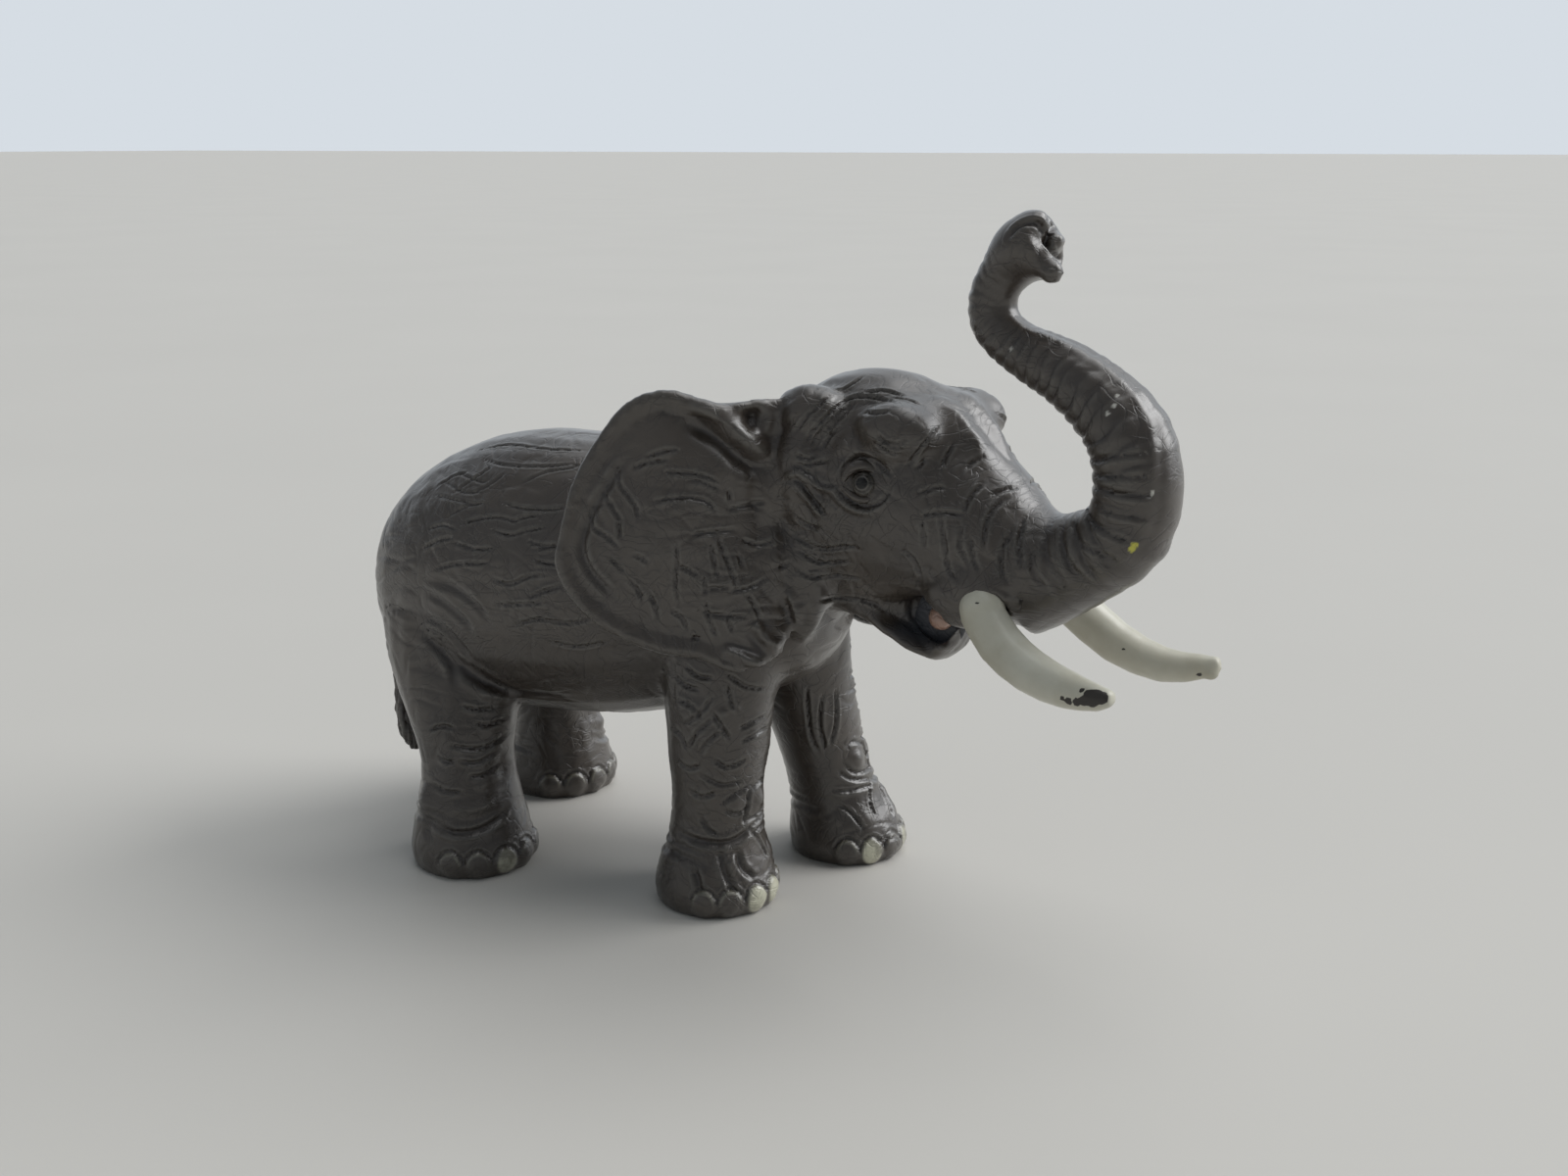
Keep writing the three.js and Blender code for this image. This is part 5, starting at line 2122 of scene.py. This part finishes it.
@dataclass(frozen=True)
class HideFinish:
    """The hide: dark olive grey plastic, with browner painted shade in its creases and a paler painted
    highlight on its raised ridges.
    """

    name: str = "hide_plastic"
    base: Colour = srgb(67, 59, 51)
    dark: Colour = srgb(54, 47, 41)
    crease_shade: Colour = srgb(36, 29, 25)
    pale_and_sheen: Colour = srgb(88, 85, 79)
    jaw: Colour = srgb(68, 70, 75)
    nail: Colour = srgb(196, 194, 172)
    tongue: Colour = srgb(158, 126, 110)
    pupil: Colour = srgb(14, 13, 13)
    speck: Colour = srgb(190, 188, 180)
    stray: Colour = srgb(196, 190, 60)
    roughness: float = 0.4
    least_roughness: float = 0.12
    sheen_coat: float = 0.85
    coat_roughness: float = 0.3
    jaw_dullness: float = 0.85
    tongue_gloss: float = 0.25

    def build(self, grain: bpy.types.NodeTree, specks: bpy.types.NodeTree) -> bpy.types.Material:
        """Makes the material.

        Args:
            grain: the group of moulded grain.
            specks: the group of stray specks.

        Returns:
            The material.
        """
        material = bpy.data.materials.new(self.name)
        material.use_nodes = True
        nodes = Nodes(material.node_tree)
        shader = material.node_tree.nodes["Principled BSDF"]
        shader.inputs["Coat Roughness"].default_value = self.coat_roughness
        place = nodes.add("TexCoord").outputs["Object"]
        fine = nodes.group(grain, place)
        spots = nodes.group(specks, place)
        clouds = nodes.between(fine.outputs["Clouds"], 0.35, 0.65, 0.0, 1.0)
        colour = nodes.mix(clouds, self.dark, self.base)
        # Painted highlight: raised ridges go paler, and so do the eyeballs.
        colour = nodes.mix(nodes.sum("MULTIPLY", nodes.attribute(Mask.PALE_AND_SHEEN), 0.5), colour, self.pale_and_sheen)
        # Painted shade along the fine wrinkle lines of the grain.
        colour = nodes.mix(nodes.sum("MULTIPLY", fine.outputs["Lines"], 0.45), colour, self.crease_shade)
        # Painted shade: creases and hollows go darker and browner.
        colour = nodes.mix(nodes.sum("MULTIPLY", nodes.attribute(Mask.CREASE), 0.75), colour, self.crease_shade)
        colour = nodes.mix(nodes.attribute(Mask.JAW), colour, self.jaw)
        colour = nodes.mix(spots.outputs["Speck"], colour, self.speck)
        whole = nodes.between(fine.outputs["Clouds"], 0.4, 0.5, 0.25, 1.0)
        # Cream nail paint, and the faint painted highlight rim of unpainted nails.
        chipped = nodes.sum("MULTIPLY", nodes.attribute(Mask.NAIL), whole)
        colour = nodes.mix(chipped, colour, self.nail)
        colour = nodes.mix(nodes.attribute(Mask.FLECK), colour, self.speck)
        colour = nodes.mix(nodes.attribute(Mask.STRAY), colour, self.stray)
        colour = nodes.mix(nodes.attribute(Mask.TONGUE), colour, self.tongue)
        colour = nodes.mix(nodes.attribute(Mask.PUPIL), colour, self.pupil)
        nodes.link(colour, shader.inputs["Base Color"])
        rough = nodes.between(fine.outputs["Clouds"], 0.3, 0.7, self.roughness - 0.05, self.roughness + 0.07)
        pupil = nodes.attribute(Mask.PUPIL)
        dull = nodes.sum("MULTIPLY_ADD", nodes.attribute(Mask.JAW), self.jaw_dullness, pupil)
        coat = nodes.sum("MULTIPLY_ADD", dull, -self.sheen_coat, self.sheen_coat)
        nodes.link(coat, shader.inputs["Coat Weight"])
        rough = nodes.sum("MULTIPLY_ADD", nodes.attribute(Mask.TONGUE), -self.tongue_gloss, rough)
        nodes.link(nodes.sum("MAXIMUM", rough, self.least_roughness), shader.inputs["Roughness"])
        bump = nodes.add("Bump", Strength=0.8, Distance=0.00012)
        nodes.link(fine.outputs["Height"], bump.inputs["Height"])
        nodes.link(bump.outputs[0], shader.inputs["Normal"])
        return material


@dataclass(frozen=True)
class IvoryFinish:
    """The tusks' cream paint, with faint brown stains and rare chips."""

    name: str = "ivory_paint"
    base: Colour = srgb(200, 198, 184)
    stain: Colour = srgb(172, 166, 146)
    chip: Colour = srgb(50, 46, 42)
    roughness: float = 0.33

    def build(self, grain: bpy.types.NodeTree, specks: bpy.types.NodeTree) -> bpy.types.Material:
        """Makes the material.

        Args:
            grain: the group of moulded grain.
            specks: the group of stray specks.

        Returns:
            The material.
        """
        material = bpy.data.materials.new(self.name)
        material.use_nodes = True
        nodes = Nodes(material.node_tree)
        shader = material.node_tree.nodes["Principled BSDF"]
        place = nodes.add("TexCoord").outputs["Object"]
        fine = nodes.group(grain, place, Wrinkle=0.2)
        spots = nodes.group(specks, place, Scale=150.0, Share=0.9)
        clouds = nodes.between(fine.outputs["Clouds"], 0.4, 0.75, 0.0, 0.8)
        colour = nodes.mix(clouds, self.base, self.stain)
        colour = nodes.mix(spots.outputs["Speck"], colour, self.chip)
        ragged = nodes.sum("SUBTRACT", fine.outputs["Clouds"], 0.5)
        edge = nodes.sum("MULTIPLY_ADD", ragged, 0.9, nodes.attribute(Mask.CHIP))
        colour = nodes.mix(nodes.between(edge, 0.42, 0.52, 0.0, 1.0), colour, self.chip)
        nodes.link(colour, shader.inputs["Base Color"])
        rough = nodes.between(fine.outputs["Clouds"], 0.3, 0.7, self.roughness - 0.05, self.roughness + 0.08)
        nodes.link(rough, shader.inputs["Roughness"])
        bump = nodes.add("Bump", Strength=0.35, Distance=0.0001)
        nodes.link(fine.outputs["Height"], bump.inputs["Height"])
        nodes.link(bump.outputs[0], shader.inputs["Normal"])
        return material


@dataclass
class Studio:
    """The pale floor, the soft lamps and the pale surroundings."""

    floor_colour: Colour = srgb(205, 202, 196)
    wall_colour: Colour = srgb(214, 221, 228)
    wall_gloss: float = 1.0
    lamps: tuple[tuple[str, Triple, float, float], ...] = (
        ("window", (0.7, 0.5, 0.62), 45.0, 1.9),
        ("ceiling", (0.2, 0.3, 0.93), 60.0, 1.15),
        ("room", (-0.45, -0.8, 0.45), 60.0, 0.1),
    )

    def build(self) -> None:
        """Makes the floor, lamps and world, and sets the view."""
        work = bmesh.new()
        bmesh.ops.create_grid(work, x_segments=8, y_segments=8, size=20)
        mesh = bpy.data.meshes.new("floor")
        work.to_mesh(mesh)
        work.free()
        floor = added("floor", mesh)
        floor.data.materials.append(self.floor_material())
        for name, place, size, power in self.lamps:
            data = bpy.data.lights.new(name, "SUN")
            data.angle = math.radians(size)
            data.energy = power
            lamp = added(name, data)
            way = Vector((0, 0, 0.05)) - Vector(place)
            turn = way.to_track_quat("-Z", "Y").to_matrix().to_4x4()
            lamp.matrix_world = Matrix.Translation(Vector(place)) @ turn
        self.world()
        bpy.context.scene.view_settings.view_transform = "Standard"

    def floor_material(self) -> bpy.types.Material:
        """The floor's plain matt finish with very faint clouds."""
        material = bpy.data.materials.new("floor_paint")
        material.use_nodes = True
        nodes = Nodes(material.node_tree)
        shader = material.node_tree.nodes["Principled BSDF"]
        noise_node = nodes.add("TexNoise", Scale=6.0, Detail=4.0)
        nodes.link(nodes.add("TexCoord").outputs["Object"], noise_node.inputs["Vector"])
        darker = tuple(c * 0.94 for c in self.floor_colour)
        colour = nodes.mix(noise_node.outputs["Fac"], self.floor_colour, darker)
        nodes.link(colour, shader.inputs["Base Color"])
        shader.inputs["Roughness"].default_value = 0.6
        return material

    def world(self) -> None:
        """A dim even light, which the camera sees as a pale wall."""
        world = bpy.data.worlds.new("surroundings")
        bpy.context.scene.world = world
        world.use_nodes = True
        nodes = Nodes(world.node_tree)
        light = world.node_tree.nodes["Background"]
        light.inputs["Color"].default_value = (0.82, 0.92, 1.0, 1)
        light.inputs["Strength"].default_value = 0.25
        path = nodes.add("LightPath")
        parts = nodes.add("SeparateXYZ")
        nodes.link(nodes.add("TexCoord").outputs["Generated"], parts.inputs[0])
        behind = nodes.between(parts.outputs["Y"], 0.0, 0.7, 0.25, self.wall_gloss)
        shine = nodes.add("Background")
        shine.inputs["Color"].default_value = (*self.wall_colour, 1)
        nodes.link(behind, shine.inputs["Strength"])
        wall = nodes.add("Background")
        wall.inputs["Color"].default_value = (*self.wall_colour, 1)
        wall.inputs["Strength"].default_value = 1.0
        mirrored = nodes.sum("MAXIMUM", path.outputs["Is Glossy Ray"], path.outputs["Is Transmission Ray"])
        last = light.outputs[0]
        for share, shader in ((mirrored, shine), (path.outputs["Is Camera Ray"], wall)):
            mixed = nodes.add("MixShader")
            nodes.link(share, mixed.inputs[0])
            nodes.link(last, mixed.inputs[1])
            nodes.link(shader.outputs[0], mixed.inputs[2])
            last = mixed.outputs[0]
        nodes.link(last, world.node_tree.nodes["World Output"].inputs["Surface"])


def settle_piece(piece: bpy.types.Object, node: str, material: bpy.types.Material) -> None:
    """Gives a piece its material, joins it to the root body and hides the CAD node that it replaces.

    Args:
        piece: the finished object.
        node: the CAD node that it replaces.
        material: its finish.
    """
    piece.data.materials.clear()
    piece.data.materials.append(material)
    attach(piece, "root")
    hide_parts(node)
    log.info("%s stands for %s: %d faces", piece.name, node, len(piece.data.polygons))


def main() -> None:
    """Builds the figure and its studio."""
    logging.basicConfig(level=logging.INFO, format="%(name)s: %(message)s")
    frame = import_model()
    camera = PhotoCamera()
    camera.build()
    Studio().build()
    grain, specks = grain_group(), speck_group()
    hide = HideFinish().build(grain, specks)
    ivory = IvoryFinish().build(grain, specks)
    for piece, node in zip(Skin(frame, camera).build(), SkinNode):
        settle_piece(piece, node.value, hide)
    settle_piece(Tail().build(frame), "tail", hide)
    right = Tusk("right_tusk", Hand.RIGHT, (74.2, -29.8, 54.1), NEAR_CHIPS)
    left = Tusk("left_tusk", Hand.LEFT, (83.5, 1.4, 50.6), FAR_CHIPS)
    for tusk in (left, right):
        settle_piece(tusk.build(frame, camera), tusk.node, ivory)


if __name__ == "__main__":
    main()
